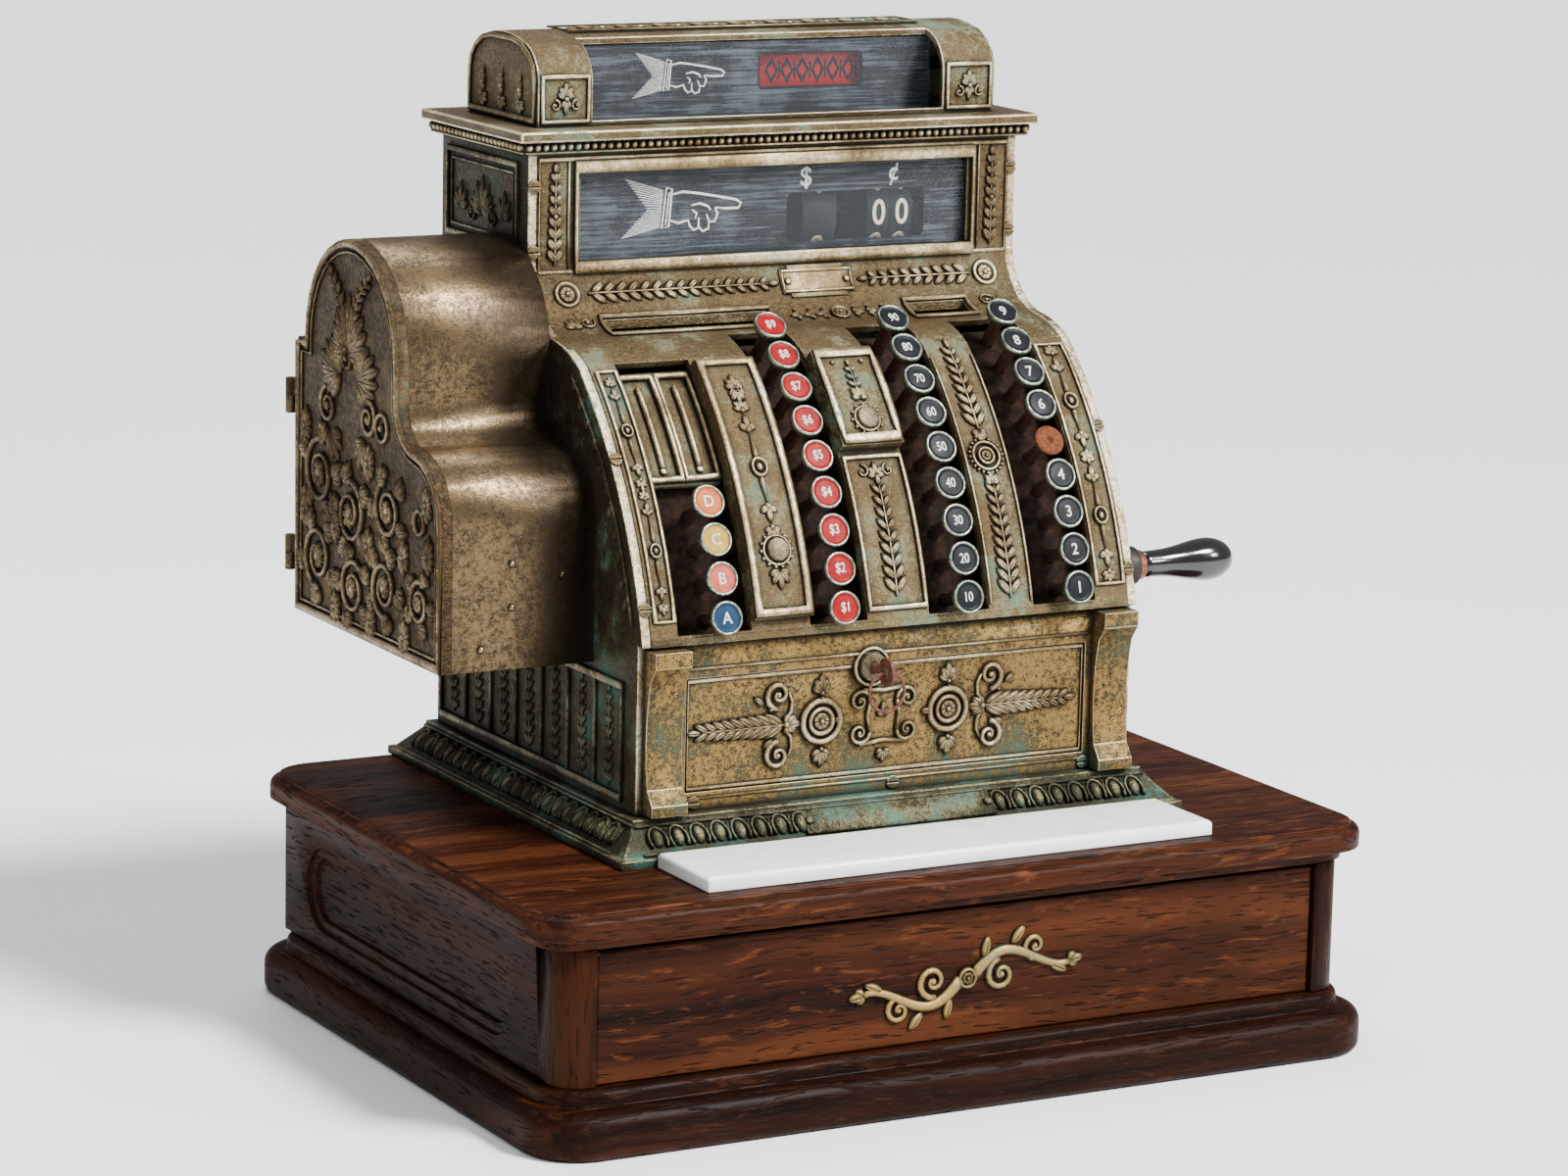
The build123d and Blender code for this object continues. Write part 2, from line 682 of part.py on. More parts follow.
bracket_x = (-236.0, -cabinet_half_width)
between_cheeks = (bracket_x[0] + cheek_thickness, bracket_x[1] - cheek_thickness)
with BuildPart() as printer_bracket:
    block(bracket_x, (40, 130), (262, 266))
    block((bracket_x[0], between_cheeks[0]), (40, 130), (266, 350))
    block((between_cheeks[1], bracket_x[1]), (40, 130), (266, roll_z + 8))

with BuildPart() as type_wheels:
    rod(*between_cheeks, 62, 300, 4)
    for number in range(7):
        low_x = -wall_inner_x - 66 + number * 8
        rod(low_x, low_x + 5, 62, 300, 16)

with BuildPart() as platen:
    rod(*between_cheeks, 62, 334, 9)

with BuildPart() as roll_spindle:
    rod(roll_x[0] - 3, between_cheeks[1], roll_y, roll_z, spindle_of_roll)
save_group("printer_mechanism", printer_bracket, type_wheels, platen, roll_spindle)

with BuildPart() as paper_roll:
    rod(*roll_x, roll_y, roll_z, 24)
    rod(*roll_x, roll_y, roll_z, spindle_of_roll + running_fit, mode=Mode.SUBTRACT)
save(paper_roll, "paper_roll")


# ---- Crank, grip and cam shaft ----
def gear(low_x, width, y, z, teeth, turn):
    """Spur gear along X with straight-sided teeth and generous backlash."""
    pitch = gear_module * teeth / 2
    root = pitch - 1.25 * gear_module
    tip = pitch + 0.9 * gear_module
    gear_plane = Plane(origin=(low_x, y, z), x_dir=(0, 1, 0), z_dir=(1, 0, 0))
    root_half = 0.85 * gear_module
    tip_half = 0.32 * gear_module
    with BuildSketch(gear_plane) as outline:
        Circle(root)
        with PolarLocations(0, teeth, start_angle=turn):
            Polygon(
                (root - 1, -root_half), (tip, -tip_half), (tip, tip_half), (root - 1, root_half), align=None
            )
    extrude(outline.sketch, amount=width)


arm_turn = math.radians(crank_rest_angle)
grip_y = crank_y + crank_reach * math.cos(arm_turn)
grip_z = crank_z + crank_reach * math.sin(arm_turn)
arm_low_x = cabinet_half_width + 4
arm_high_x = arm_low_x + 9

with BuildPart() as crank_lever:
    rod(arm_low_x, arm_high_x + 3, crank_y, crank_z, 17)
    rod(arm_low_x, arm_high_x, grip_y, grip_z, 11)
    along = Plane(
        origin=(arm_low_x, crank_y, crank_z),
        x_dir=(0, math.cos(arm_turn), math.sin(arm_turn)),
        z_dir=(1, 0, 0),
    )
    with BuildSketch(along):
        Polygon((0, -12), (crank_reach, -8), (crank_reach, 8), (0, 12), align=None)
    extrude(amount=arm_high_x - arm_low_x)
    rod(arm_low_x, arm_high_x + 4, crank_y, crank_z, crank_shaft_radius, mode=Mode.SUBTRACT)
    rod(arm_high_x, arm_high_x + 5, grip_y, grip_z, 8.5)
    rod(arm_high_x + 5, grip_end_x - 4, grip_y, grip_z, spindle_radius)

with BuildPart() as crank_shaft:
    rod(80, arm_high_x + 3, crank_y, crank_z, crank_shaft_radius)

with BuildPart() as drive_gear:
    gear(gear_low_x, gear_width, crank_y, crank_z, drive_teeth, cam_direction)
    rod(gear_low_x, gear_low_x + gear_width, crank_y, crank_z, crank_shaft_radius, mode=Mode.SUBTRACT)
save_group("crank_arm", crank_lever, crank_shaft, drive_gear)

with BuildPart() as crank_grip:
    grip_low_x = arm_high_x + 5 + fit_gap
    grip_plane = Plane(origin=(0, grip_y, grip_z), x_dir=(1, 0, 0), z_dir=(0, 0, 1))
    with BuildSketch(grip_plane):
        with BuildLine():
            Line((grip_low_x, 0), (grip_low_x, 7.5))
            neck = ThreePointArc((grip_low_x, 7.5), (grip_low_x + 14, 8), (grip_low_x + 28, 10.5))
            knob = ThreePointArc(neck @ 1, (grip_end_x - 14, 12.4), (grip_end_x - 4, 8.5))
            tip = ThreePointArc(knob @ 1, (grip_end_x - 1.6, 6), (grip_end_x, 2))
            Polyline(tip @ 1, (grip_end_x, 0), (grip_low_x, 0))
        make_face()
    revolve(axis=Axis((0, grip_y, grip_z), (1, 0, 0)))
    rod(grip_low_x, grip_end_x - 3, grip_y, grip_z, spindle_radius + running_fit, mode=Mode.SUBTRACT)
save(crank_grip, "crank_grip")

with BuildPart() as cam_bar:
    rod(-frame_inner_x - 4, frame_inner_x + 4, cam_y, cam_z, cam_shaft_radius)

with BuildPart() as cam_gear:
    mesh_turn = cam_direction + 180 + 180 / cam_teeth
    gear(gear_low_x, gear_width, cam_y, cam_z, cam_teeth, mesh_turn)
    rod(gear_low_x, gear_low_x + gear_width, cam_y, cam_z, cam_shaft_radius, mode=Mode.SUBTRACT)

with BuildPart() as cams:
    for low_x in (-80, -20, 40, 96):
        rod(low_x, low_x + 7, cam_y + 5, cam_z, 20)
        rod(low_x, low_x + 7, cam_y, cam_z, cam_shaft_radius, mode=Mode.SUBTRACT)
save_group("cam_shaft", cam_bar, cam_gear, cams)

# ---- Locks, key and ring ----
reset_locks = (on_arc(-71, front_radius + 5, 22.3), on_arc(2.3, front_radius + 7, 37.2))
with BuildPart() as lock_barrels:
    for plane in reset_locks:
        with Locations(plane):
            Cylinder(6.5, 4, align=upright)
    with Locations(lock_plane.offset(-barrel_depth)):
        Cylinder(lock_radius, barrel_depth + barrel_proud, align=upright)
    key_bore = Plane(origin=(lock_x, lower_front_y, lock_z), x_dir=(1, 0, 0), z_dir=(0, -1, 0))
    with Locations(key_bore):
        Cylinder(key_radius + running_fit, 24, mode=Mode.SUBTRACT)
save(lock_barrels, "lock_barrels")

bow_y = lower_front_y - 18
with BuildPart() as lock_key:
    key_start = Plane(origin=(lock_x, lower_front_y + 6, lock_z), x_dir=(1, 0, 0), z_dir=(0, -1, 0))
    with Locations(key_start):
        Cylinder(key_radius, 18, align=upright)
    rod(lock_x - 1.2, lock_x + 1.2, bow_y, lock_z, 8)
    rod(lock_x - 2, lock_x + 2, bow_y, lock_z, 3, mode=Mode.SUBTRACT)
save(lock_key, "lock_key")

with BuildPart() as key_ring:
    ring_plane = Plane(origin=(lock_x, bow_y, lock_z - ring_radius), x_dir=(1, 0, 0), z_dir=(0, -1, 0))
    with Locations(ring_plane):
        Torus(ring_radius, 0.9)
save(key_ring, "key_ring")


# ---- Slotted screws ----
def facing(place, out):
    """Plane at a place, facing outwards."""
    return Plane(origin=place, x_dir=(0, 0, 1) if out[0] else (1, 0, 0), z_dir=out)


screw_planes = [facing((x, upper_front_y, z), (0, -1, 0)) for x in (-152.4, 152.4) for z in (440.5, 477)]
screw_planes += [facing((x, lower_front_y, 157.5), (0, -1, 0)) for x in (-121, 3, 126)]
screw_planes += [on_arc(x, front_radius, angle) for x in (-152.4, 152.4) for angle in (16.8, 35)]
screw_planes += [facing((x, cabinet_rear_y, z), (0, 1, 0)) for x in (-140, 140) for z in (170, 325, 480)]
screw_planes += [facing((cabinet_half_width, y, 175), (1, 0, 0)) for y in (-70, 145)]
screw_planes += [facing((cabinet_half_width, y, z), (1, 0, 0)) for y, z in ((-30, 340), (145, 470))]
with BuildPart() as cabinet_screws:
    for plane in screw_planes:
        with Locations(plane):
            Cylinder(3.6, 1.4, align=upright)
            Box(8, 0.9, 1.4, align=(Align.CENTER, Align.CENTER, Align.MIN), mode=Mode.SUBTRACT)
save(cabinet_screws, "cabinet_screws")

# ---- Keys: stem, cup and printed disc ----
bank_names = {
    "transaction": ["key_a", "key_b", "key_c", "key_d"],
    "dollar": [f"key_dollar_{number}" for number in range(1, 10)],
    "tens": [f"key_tens_{number}0" for number in range(1, 10)],
    "cents": [f"key_cents_{number}" for number in range(1, 10)],
}
bare_key = "key_cents_5"
for bank, names in bank_names.items():
    for number, name in enumerate(names):
        angle = first_key_angle + number * key_pitch_angle
        stem_plane = on_arc(bank_x[bank], stem_inner_radius, angle)
        cup_radius = cap_top_radius - cap_height
        cup_plane = on_arc(bank_x[bank], cup_radius, angle)
        disc_plane = on_arc(bank_x[bank], cup_radius + cup_floor, angle)
        with BuildPart() as stem:
            with Locations(stem_plane):
                Cylinder(stem_radius, cup_radius - stem_inner_radius, align=upright)
        with BuildPart() as cup:
            with Locations(cup_plane):
                Cylinder(cap_radius, cap_height, align=upright)
            with Locations(disc_plane):
                Cylinder(disc_radius, cap_height, align=upright, mode=Mode.SUBTRACT)
        with BuildPart() as disc:
            with Locations(disc_plane):
                Cylinder(disc_radius, cap_height - cup_floor - 0.6, align=upright)
                if name == bare_key:
                    Cylinder(missing_cap_hole, 20, mode=Mode.SUBTRACT)
        save_group(name, stem, cup, disc)
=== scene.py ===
import bpy
import bmesh
import math
from mathutils import Matrix, Vector


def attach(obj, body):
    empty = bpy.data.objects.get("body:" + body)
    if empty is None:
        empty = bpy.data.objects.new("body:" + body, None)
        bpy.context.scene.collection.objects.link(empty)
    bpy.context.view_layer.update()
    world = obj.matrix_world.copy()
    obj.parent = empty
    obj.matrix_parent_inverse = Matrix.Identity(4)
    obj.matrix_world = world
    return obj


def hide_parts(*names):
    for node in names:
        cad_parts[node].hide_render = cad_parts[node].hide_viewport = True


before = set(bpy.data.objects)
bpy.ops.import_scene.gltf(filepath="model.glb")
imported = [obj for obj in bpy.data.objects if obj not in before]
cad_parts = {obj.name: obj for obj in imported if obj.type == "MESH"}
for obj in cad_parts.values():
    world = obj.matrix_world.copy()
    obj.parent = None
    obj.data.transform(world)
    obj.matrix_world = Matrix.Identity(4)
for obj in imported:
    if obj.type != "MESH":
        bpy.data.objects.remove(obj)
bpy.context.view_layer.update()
mm = 0.001
scene = bpy.context.scene
print("frame loaded:", len(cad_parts), "nodes")


# shader maths written as expressions
class Wire:
    def __init__(self, net, socket):
        self.net = net
        self.socket = socket

    def math(self, operation, *others):
        node = self.net.tree.nodes.new("ShaderNodeMath")
        node.operation = operation
        for slotIndex, value in enumerate((self, *others)):
            self.net.feed(node.inputs[slotIndex], value)
        return Wire(self.net, node.outputs[0])

    def __add__(self, other):
        return self.math("ADD", other)

    def __radd__(self, other):
        return self.math("ADD", other)

    def __sub__(self, other):
        return self.math("SUBTRACT", other)

    def __rsub__(self, other):
        return (self * -1.0) + other

    def __mul__(self, other):
        return self.math("MULTIPLY", other)

    def __rmul__(self, other):
        return self.math("MULTIPLY", other)

    def __truediv__(self, other):
        return self.math("DIVIDE", other)

    def __pow__(self, other):
        return self.math("POWER", other)

    def smaller(self, other):
        return self.math("MINIMUM", other)

    def larger(self, other):
        return self.math("MAXIMUM", other)

    def size(self):
        return self.math("ABSOLUTE")

    def step(self, low, high):
        # 0 below low, 1 above high, smooth between
        settings = {"interpolation_type": "SMOOTHSTEP"}
        return self.net.add("ShaderNodeMapRange", settings, Value=self, From_Min=low, From_Max=high)


class Net:
    def __init__(self, name):
        self.material = bpy.data.materials.new(name)
        self.material.use_nodes = True
        self.tree = self.material.node_tree
        self.tree.nodes.clear()
        self.shader = self.tree.nodes.new("ShaderNodeBsdfPrincipled")
        output = self.tree.nodes.new("ShaderNodeOutputMaterial")
        self.tree.links.new(self.shader.outputs[0], output.inputs[0])

    def feed(self, socket, value):
        if isinstance(value, Wire):
            self.tree.links.new(value.socket, socket)
        elif isinstance(value, (tuple, list)) and len(value) == 3 and socket.type == "RGBA":
            socket.default_value = (*value, 1.0)
        else:
            socket.default_value = value

    def add(self, kind, settings=None, output=0, **values):
        node = self.tree.nodes.new(kind)
        for key, value in (settings or {}).items():
            setattr(node, key, value)
        for key, value in values.items():
            self.feed(findInput(node, key.replace("_", " ")), value)
        return Wire(self, node.outputs[output])

    def objectPlace(self):
        return self.add("ShaderNodeTexCoord", output=3)

    def attribute(self, name, output=2):
        return self.add("ShaderNodeAttribute", {"attribute_name": name}, output=output)

    def axes(self, vector):
        node = self.tree.nodes.new("ShaderNodeSeparateXYZ")
        self.feed(node.inputs[0], vector)
        return [Wire(self, socket) for socket in node.outputs]

    def stretch(self, vector, scale):
        return self.add("ShaderNodeMapping", Vector=vector, Scale=scale)

    def noise(self, vector, scale, detail=3.0, rough=0.55, warp=0.0):
        return self.add(
            "ShaderNodeTexNoise", Vector=vector, Scale=scale, Detail=detail, Roughness=rough, Distortion=warp
        )

    def blend(self, factor, first, second):
        return self.add("ShaderNodeMix", {"data_type": "RGBA"}, output=2, Factor=factor, A=first, B=second)

    def bump(self, height, strength, distance):
        return self.add("ShaderNodeBump", Height=height, Strength=strength, Distance=distance)

    def surface(self, **values):
        for key, value in values.items():
            self.feed(self.shader.inputs[key.replace("_", " ")], value)
        return self.material


def findInput(node, name):
    for socket in node.inputs:
        if socket.name == name and socket.enabled:
            return socket
    raise KeyError(name)


# what the finishes are mixed from
brassTones = {
    "grimeAndShade": (0.006, 0.0045, 0.003),
    "recessAndShade": (0.020, 0.013, 0.007),
    "field": (0.115, 0.078, 0.036),
    "rubbed": (0.44, 0.34, 0.185),
    "bright": (0.80, 0.70, 0.50),
    "verdigris": (0.020, 0.088, 0.064),
    "chalk": (0.085, 0.20, 0.155),
    "olive": (0.075, 0.078, 0.040),
    "copper": (0.20, 0.092, 0.040),
}


def castBrass(
    name, gold=0.5, grain=1.0, green=0.5, warm=0.0, fieldTone=None, shine=0.0, crevice=0.005, blotch=1.0,
    shadeSpan=None
):
    net = Net(name)
    place = net.objectPlace()
    x, _, z = net.axes(place)
    rise = net.attribute("rise")
    cloud = (net.noise(place, 13.0, 4.0) - 0.5) * blotch
    patch = (net.noise(place, 52.0, 5.0, 0.6) - 0.5) * blotch
    sand = 0.35 + 0.65 * grain
    speck = (net.noise(place, 330.0, 3.0, 0.6) - 0.5) * sand
    grit = (net.noise(place, 1150.0, 2.0, 0.6) - 0.5) * sand
    # grime and painted shade darken the crevices where cast relief meets its ground, found by ambient occlusion
    corner = net.add("ShaderNodeAmbientOcclusion", {"samples": 6}, output=1, Distance=crevice)
    sunk = 1.0 - corner.step(0.52, 0.98)
    polish = rise * 0.8 + patch * 0.9 + cloud * 1.1 + speck * 0.8 + grit * 0.8 + (gold - 0.5)
    rubbed = polish.step(0.26, 0.86)
    pale = polish.step(0.62, 1.02)
    dark = (speck * 1.6 + grit * 1.7 + patch * 1.2 + cloud * 0.8 + 0.57 - rise * 0.75).step(0.20, 0.66)
    lowBand = 1.0 - z.step(0.150, 0.186)
    damp = cloud * 1.9 + patch * 1.6 + (green - 0.5) + lowBand * 0.16 + sunk * 0.16
    olive = (damp + speck * 0.4).step(-0.20, 0.22)
    verdigris = (damp + speck * 0.9 + grit * 0.5 - rise * 0.06).step(0.12, 0.42)
    chalky = (damp + speck * 1.3 + grit * 0.8).step(0.42, 0.82)
    base = net.blend(dark, fieldTone or brassTones["field"], brassTones["recessAndShade"])
    base = net.blend(olive * 0.5, base, brassTones["olive"])
    base = net.blend(rubbed, base, brassTones["rubbed"])
    base = net.blend(pale, base, brassTones["bright"])
    base = net.blend((cloud + patch * 0.8 + 0.5).step(0.52, 0.78) * warm, base, brassTones["copper"])
    base = net.blend(verdigris * 0.75, base, brassTones["verdigris"])
    base = net.blend(chalky * 0.5, base, brassTones["chalk"])
    # painted shade with grime: crevices go near black
    base = net.blend(sunk * 0.92, base, brassTones["grimeAndShade"])
    if shadeSpan:
        # painted shade, darker towards larger x, rising between two places in x
        base = net.blend((x + cloud * 0.02 + speck * 0.012).step(*shadeSpan) * 0.9, base, brassTones["recessAndShade"])
    rough = 0.47 - rubbed * 0.13 + verdigris * 0.26 + sunk * 0.2 + dark * 0.1 + speck * 0.3 - shine
    metal = (0.86 + rubbed * 0.14 - verdigris * 0.6 - sunk * 0.3 - dark * 0.2).larger(0.0).smaller(1.0)
    height = grit * 0.8 + speck * 1.1 * grain + patch * 0.5
    normal = net.bump(height, 0.85 * grain + 0.1, 0.0011)
    return net.surface(
        Base_Color=base, Roughness=rough, Metallic=metal, Normal=normal, Specular_IOR_Level=0.3
    )


def agedOak(name, tone=1.0, worn=0.4, fleckShare=0.5, fleckTurn=0.0):
    net = Net(name)
    along = net.attribute("grainPlace", output=1)     # x runs along the board
    rise = net.attribute("rise")
    wobble = net.noise(along, 3.5, 3.0)
    bent = net.add("ShaderNodeVectorMath", {"operation": "ADD"}, Vector=along)
    node = bent.socket.node
    shift = net.add("ShaderNodeCombineXYZ", X=0.0, Y=(wobble - 0.5) * 0.03, Z=(wobble - 0.5) * 0.03)
    net.feed(node.inputs[1], shift)
    streak = net.noise(net.stretch(bent, (5.0, 170.0, 170.0)), 1.0, 4.0, 0.65)
    band = net.noise(net.stretch(bent, (1.2, 32.0, 32.0)), 1.0, 3.0, 0.5)
    pore = net.noise(net.stretch(bent, (55.0, 620.0, 620.0)), 1.0, 2.0, 0.5)
    pores = pore.step(0.56, 0.68)
    fleckPlace = net.add(
        "ShaderNodeMapping", Vector=bent, Rotation=(0.0, fleckTurn, fleckTurn), Scale=(34.0, 190.0, 190.0)
    )
    fleck = net.noise(fleckPlace, 1.0, 3.0, 0.6, 0.6).step(0.56, 0.70)
    cloud = net.noise(net.stretch(along, (6.0, 9.0, 9.0)), 1.0, 3.0)
    deep = (0.0050 * tone, 0.0014 * tone, 0.0008 * tone)
    middle = (0.027 * tone, 0.0066 * tone, 0.0026 * tone)
    light = (0.078 * tone, 0.0225 * tone, 0.0070 * tone)
    base = net.blend(streak.step(0.30, 0.68), deep, middle)
    base = net.blend(band.step(0.42, 0.78) * 0.75, base, light)
    base = net.blend(fleck * fleckShare, base, (0.086 * tone, 0.026 * tone, 0.0085 * tone))
    base = net.blend(pores * 0.8, base, (0.010, 0.004, 0.002))
    base = net.blend((cloud.step(0.45, 0.75)) * 0.35, base, deep)
    wear = (rise * 0.9 + (cloud - 0.5) * 1.2 + (streak - 0.5) * 0.6 + (worn - 0.5)).step(0.35, 0.95)
    base = net.blend(wear * 0.6, base, (0.20, 0.092, 0.032))
    rough = 0.44 + pores * 0.30 + wear * 0.14 + (cloud - 0.5) * 0.2
    normal = net.bump(streak * 0.7 - pores * 1.3 + fleck * 0.3, 0.55, 0.0008)
    return net.surface(Base_Color=base, Roughness=rough, Normal=normal, Specular_IOR_Level=0.05)


def plain(
    name, colour, rough, metal=0.0, spread=0.25, scale=120.0, bumpDepth=0.15, coat=0.0, second=None, gloss=0.5
):
    net = Net(name)
    place = net.objectPlace()
    mottle = net.noise(place, scale, 4.0, 0.6)
    fine = net.noise(place, scale * 6.0, 2.0)
    other = second or tuple(channel * (1.0 - spread) for channel in colour)
    base = net.blend(mottle.step(0.35, 0.68), colour, other)
    roughness = rough + (mottle - 0.5) * 0.25
    normal = net.bump(fine + mottle, bumpDepth, 0.0004)
    return net.surface(Base_Color=base, Roughness=roughness, Metallic=metal, Normal=normal, Coat_Weight=coat,
                       Specular_IOR_Level=gloss)


def marble():
    net = Net("whiteMarble")
    place = net.objectPlace()
    vein = net.noise(net.stretch(place, (9.0, 26.0, 26.0)), 1.0, 6.0, 0.6, 1.2)
    grey = (vein - 0.5).size().step(0.0, 0.05)
    base = net.blend(grey, (0.84, 0.85, 0.85), (0.93, 0.93, 0.92))
    return net.surface(Base_Color=base, Roughness=0.22, Coat_Weight=0.35)


def paintedGlass():
    # black paint behind old glass, scraped in long streaks
    net = Net("windowPaint")
    place = net.objectPlace()
    streak = net.noise(net.stretch(place, (16.0, 1.0, 620.0)), 1.0, 5.0, 0.75)
    patch = net.noise(place, 30.0, 4.0, 0.65)
    scuff = net.noise(place, 700.0, 3.0, 0.7)
    wiped = (streak * 1.1 + patch * 0.6).step(0.80, 1.04)
    base = net.blend(wiped, (0.0016, 0.0022, 0.004), (0.058, 0.070, 0.086))
    chips = ((patch - 0.5) * 1.4 + (scuff - 0.5) * 1.3).step(0.42, 0.52)
    base = net.blend(chips * 0.7, base, (0.26, 0.27, 0.28))
    rough = 0.22 + wiped * 0.25 + (patch - 0.5) * 0.2
    return net.surface(
        Base_Color=base, Roughness=rough, Normal=net.bump(streak, 0.12, 0.0003), Specular_IOR_Level=0.12
    )


def clearGlass():
    net = Net("clearGlass")
    place = net.objectPlace()
    dust = net.noise(place, 60.0, 4.0, 0.6)
    return net.surface(
        Base_Color=(0.45, 0.5, 0.54), Roughness=0.08 + dust.step(0.5, 0.8) * 0.2, Alpha=0.03,
        Specular_IOR_Level=0.12
    )


brassPanel = castBrass("brassPanel", gold=0.64, green=0.44, blotch=0.85)
brassKeyboard = castBrass("brassKeyboard", gold=0.60, green=0.48, blotch=0.85)
brassOrnament = castBrass("brassOrnament", gold=0.38, green=0.46, grain=0.6, crevice=0.003, blotch=0.8)
brassLower = castBrass(
    "brassLower", gold=0.42, grain=0.7, green=0.40, fieldTone=(0.23, 0.145, 0.048), blotch=0.6
)
brassCasting = castBrass("brassCasting", gold=0.20, green=0.46, fieldTone=(0.045, 0.045, 0.026))
# printer shell: painted shade darkens it towards the cabinet
brassPrinter = castBrass(
    "brassPrinter", gold=0.36, green=0.22, warm=0.3, grain=0.25, fieldTone=(0.145, 0.098, 0.048), shine=0.18,
    blotch=0.4, shadeSpan=(-0.218, -0.178)
)
# darker copy of the cast brass for the flanks: painted shade
brassSide = castBrass("brassSide", gold=0.12, green=0.36, fieldTone=(0.042, 0.028, 0.015))
brassLid = castBrass("brassLid", gold=0.26, green=0.32, warm=0.6, fieldTone=(0.075, 0.046, 0.020), blotch=0.8)
brassScript = castBrass(
    "brassScript", gold=0.05, green=0.24, grain=0.5, fieldTone=(0.30, 0.20, 0.07), blotch=0.6
)
oakDark = agedOak("oakDark", 0.55, 0.30, 0.45)
oakTop = agedOak("oakTop", 1.2, 0.46, 0.6)
oakFront = agedOak("oakFront", 0.9, 0.22, 0.8, 0.38)
tillWood = plain("tillWood", (0.30, 0.17, 0.075), 0.6, spread=0.35, scale=60.0)
marbleWhite = marble()
windowPaint = paintedGlass()
windowClear = clearGlass()
darkBrass = plain("darkBrass", (0.060, 0.045, 0.028), 0.5, 0.8, scale=500.0, second=(0.15, 0.12, 0.07))
whitePaint = plain("whitePaint", (0.70, 0.70, 0.67), 0.6, scale=900.0, second=(0.34, 0.34, 0.33), gloss=0.2)
nickelRing = plain("nickelRing", (0.36, 0.38, 0.31), 0.30, 0.95, scale=500.0, second=(0.09, 0.125, 0.090))
rustyIron = plain(
    "rustyIron", (0.150, 0.048, 0.022), 0.75, 0.25, scale=420.0, bumpDepth=0.6, second=(0.045, 0.018, 0.012)
)
# near-black rust for the insides of the key slots, darkened as painted shade
darkRust = plain(
    "darkRust", (0.006, 0.004, 0.003), 0.9, scale=240.0, bumpDepth=0.7, second=(0.022, 0.010, 0.006),
    gloss=0.1
)
rustDisc = plain(
    "rustDisc", (0.17, 0.055, 0.020), 0.8, 0.1, scale=700.0, bumpDepth=0.6, second=(0.07, 0.022, 0.010),
    gloss=0.15
)
darkIron = plain("darkIron", (0.030, 0.025, 0.022), 0.55, 0.6, scale=200.0, second=(0.012, 0.010, 0.009))
blackGrip = plain("blackGrip", (0.006, 0.006, 0.007), 0.16, 0.0, scale=60.0, bumpDepth=0.03, coat=0.6)
copperCollar = plain("copperCollar", (0.30, 0.12, 0.065), 0.42, 0.85, scale=300.0, second=(0.12, 0.05, 0.03))
creamPaint = plain("creamPaint", (0.62, 0.56, 0.40), 0.55, scale=700.0, second=(0.40, 0.36, 0.25))
wheelBlack = plain("wheelBlack", (0.005, 0.006, 0.007), 0.6, scale=300.0, gloss=0.15)
paperOld = plain("paperOld", (0.72, 0.66, 0.50), 0.85, scale=90.0, spread=0.15)
discColours = {
    "red": (0.24, 0.004, 0.006),
    "black": (0.006, 0.007, 0.009),
    "orange": (0.46, 0.095, 0.020),
    "yellow": (0.40, 0.25, 0.035),
    "pink": (0.42, 0.085, 0.060),
    "blue": (0.010, 0.034, 0.075),
}
discMaterials = {
    colour: plain(f"disc_{colour}", tone, 0.42, scale=260.0, spread=0.3, bumpDepth=0.04, gloss=0.10)
    for colour, tone in discColours.items()
}
print("materials made")


# mesh helpers
def meshObject(name, vertices, faces, materials, rise=None, faceMaterials=None, smooth=True):
    mesh = bpy.data.meshes.new(name)
    mesh.from_pydata([tuple(v) for v in vertices], [], faces)
    for material in materials:
        mesh.materials.append(material)
    if faceMaterials:
        mesh.polygons.foreach_set("material_index", faceMaterials)
    mesh.polygons.foreach_set("use_smooth", [smooth] * len(mesh.polygons))
    if rise is not None:
        layer = mesh.attributes.new("rise", "FLOAT", "POINT")
        layer.data.foreach_set("value", rise)
    mesh.update()
    piece = bpy.data.objects.new(name, mesh)
    scene.collection.objects.link(piece)
    return piece


def turnOutward(piece):
    work = bmesh.new()
    work.from_mesh(piece.data)
    bmesh.ops.remove_doubles(work, verts=work.verts, dist=1e-6)
    bmesh.ops.recalc_face_normals(work, faces=work.faces)
    work.to_mesh(piece.data)
    work.free()


def settle(piece, body, hides=()):
    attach(piece, body)
    if hides:
        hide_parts(*hides)
    return piece


def bake(piece):
    # evaluated copy as a plain mesh, modifiers gone
    graph = bpy.context.evaluated_depsgraph_get()
    mesh = bpy.data.meshes.new_from_object(piece.evaluated_get(graph))
    piece.modifiers.clear()
    old = piece.data
    piece.data = mesh
    if old.users == 0 and isinstance(old, bpy.types.Mesh):
        bpy.data.meshes.remove(old)
    mesh.name = piece.name
    return piece


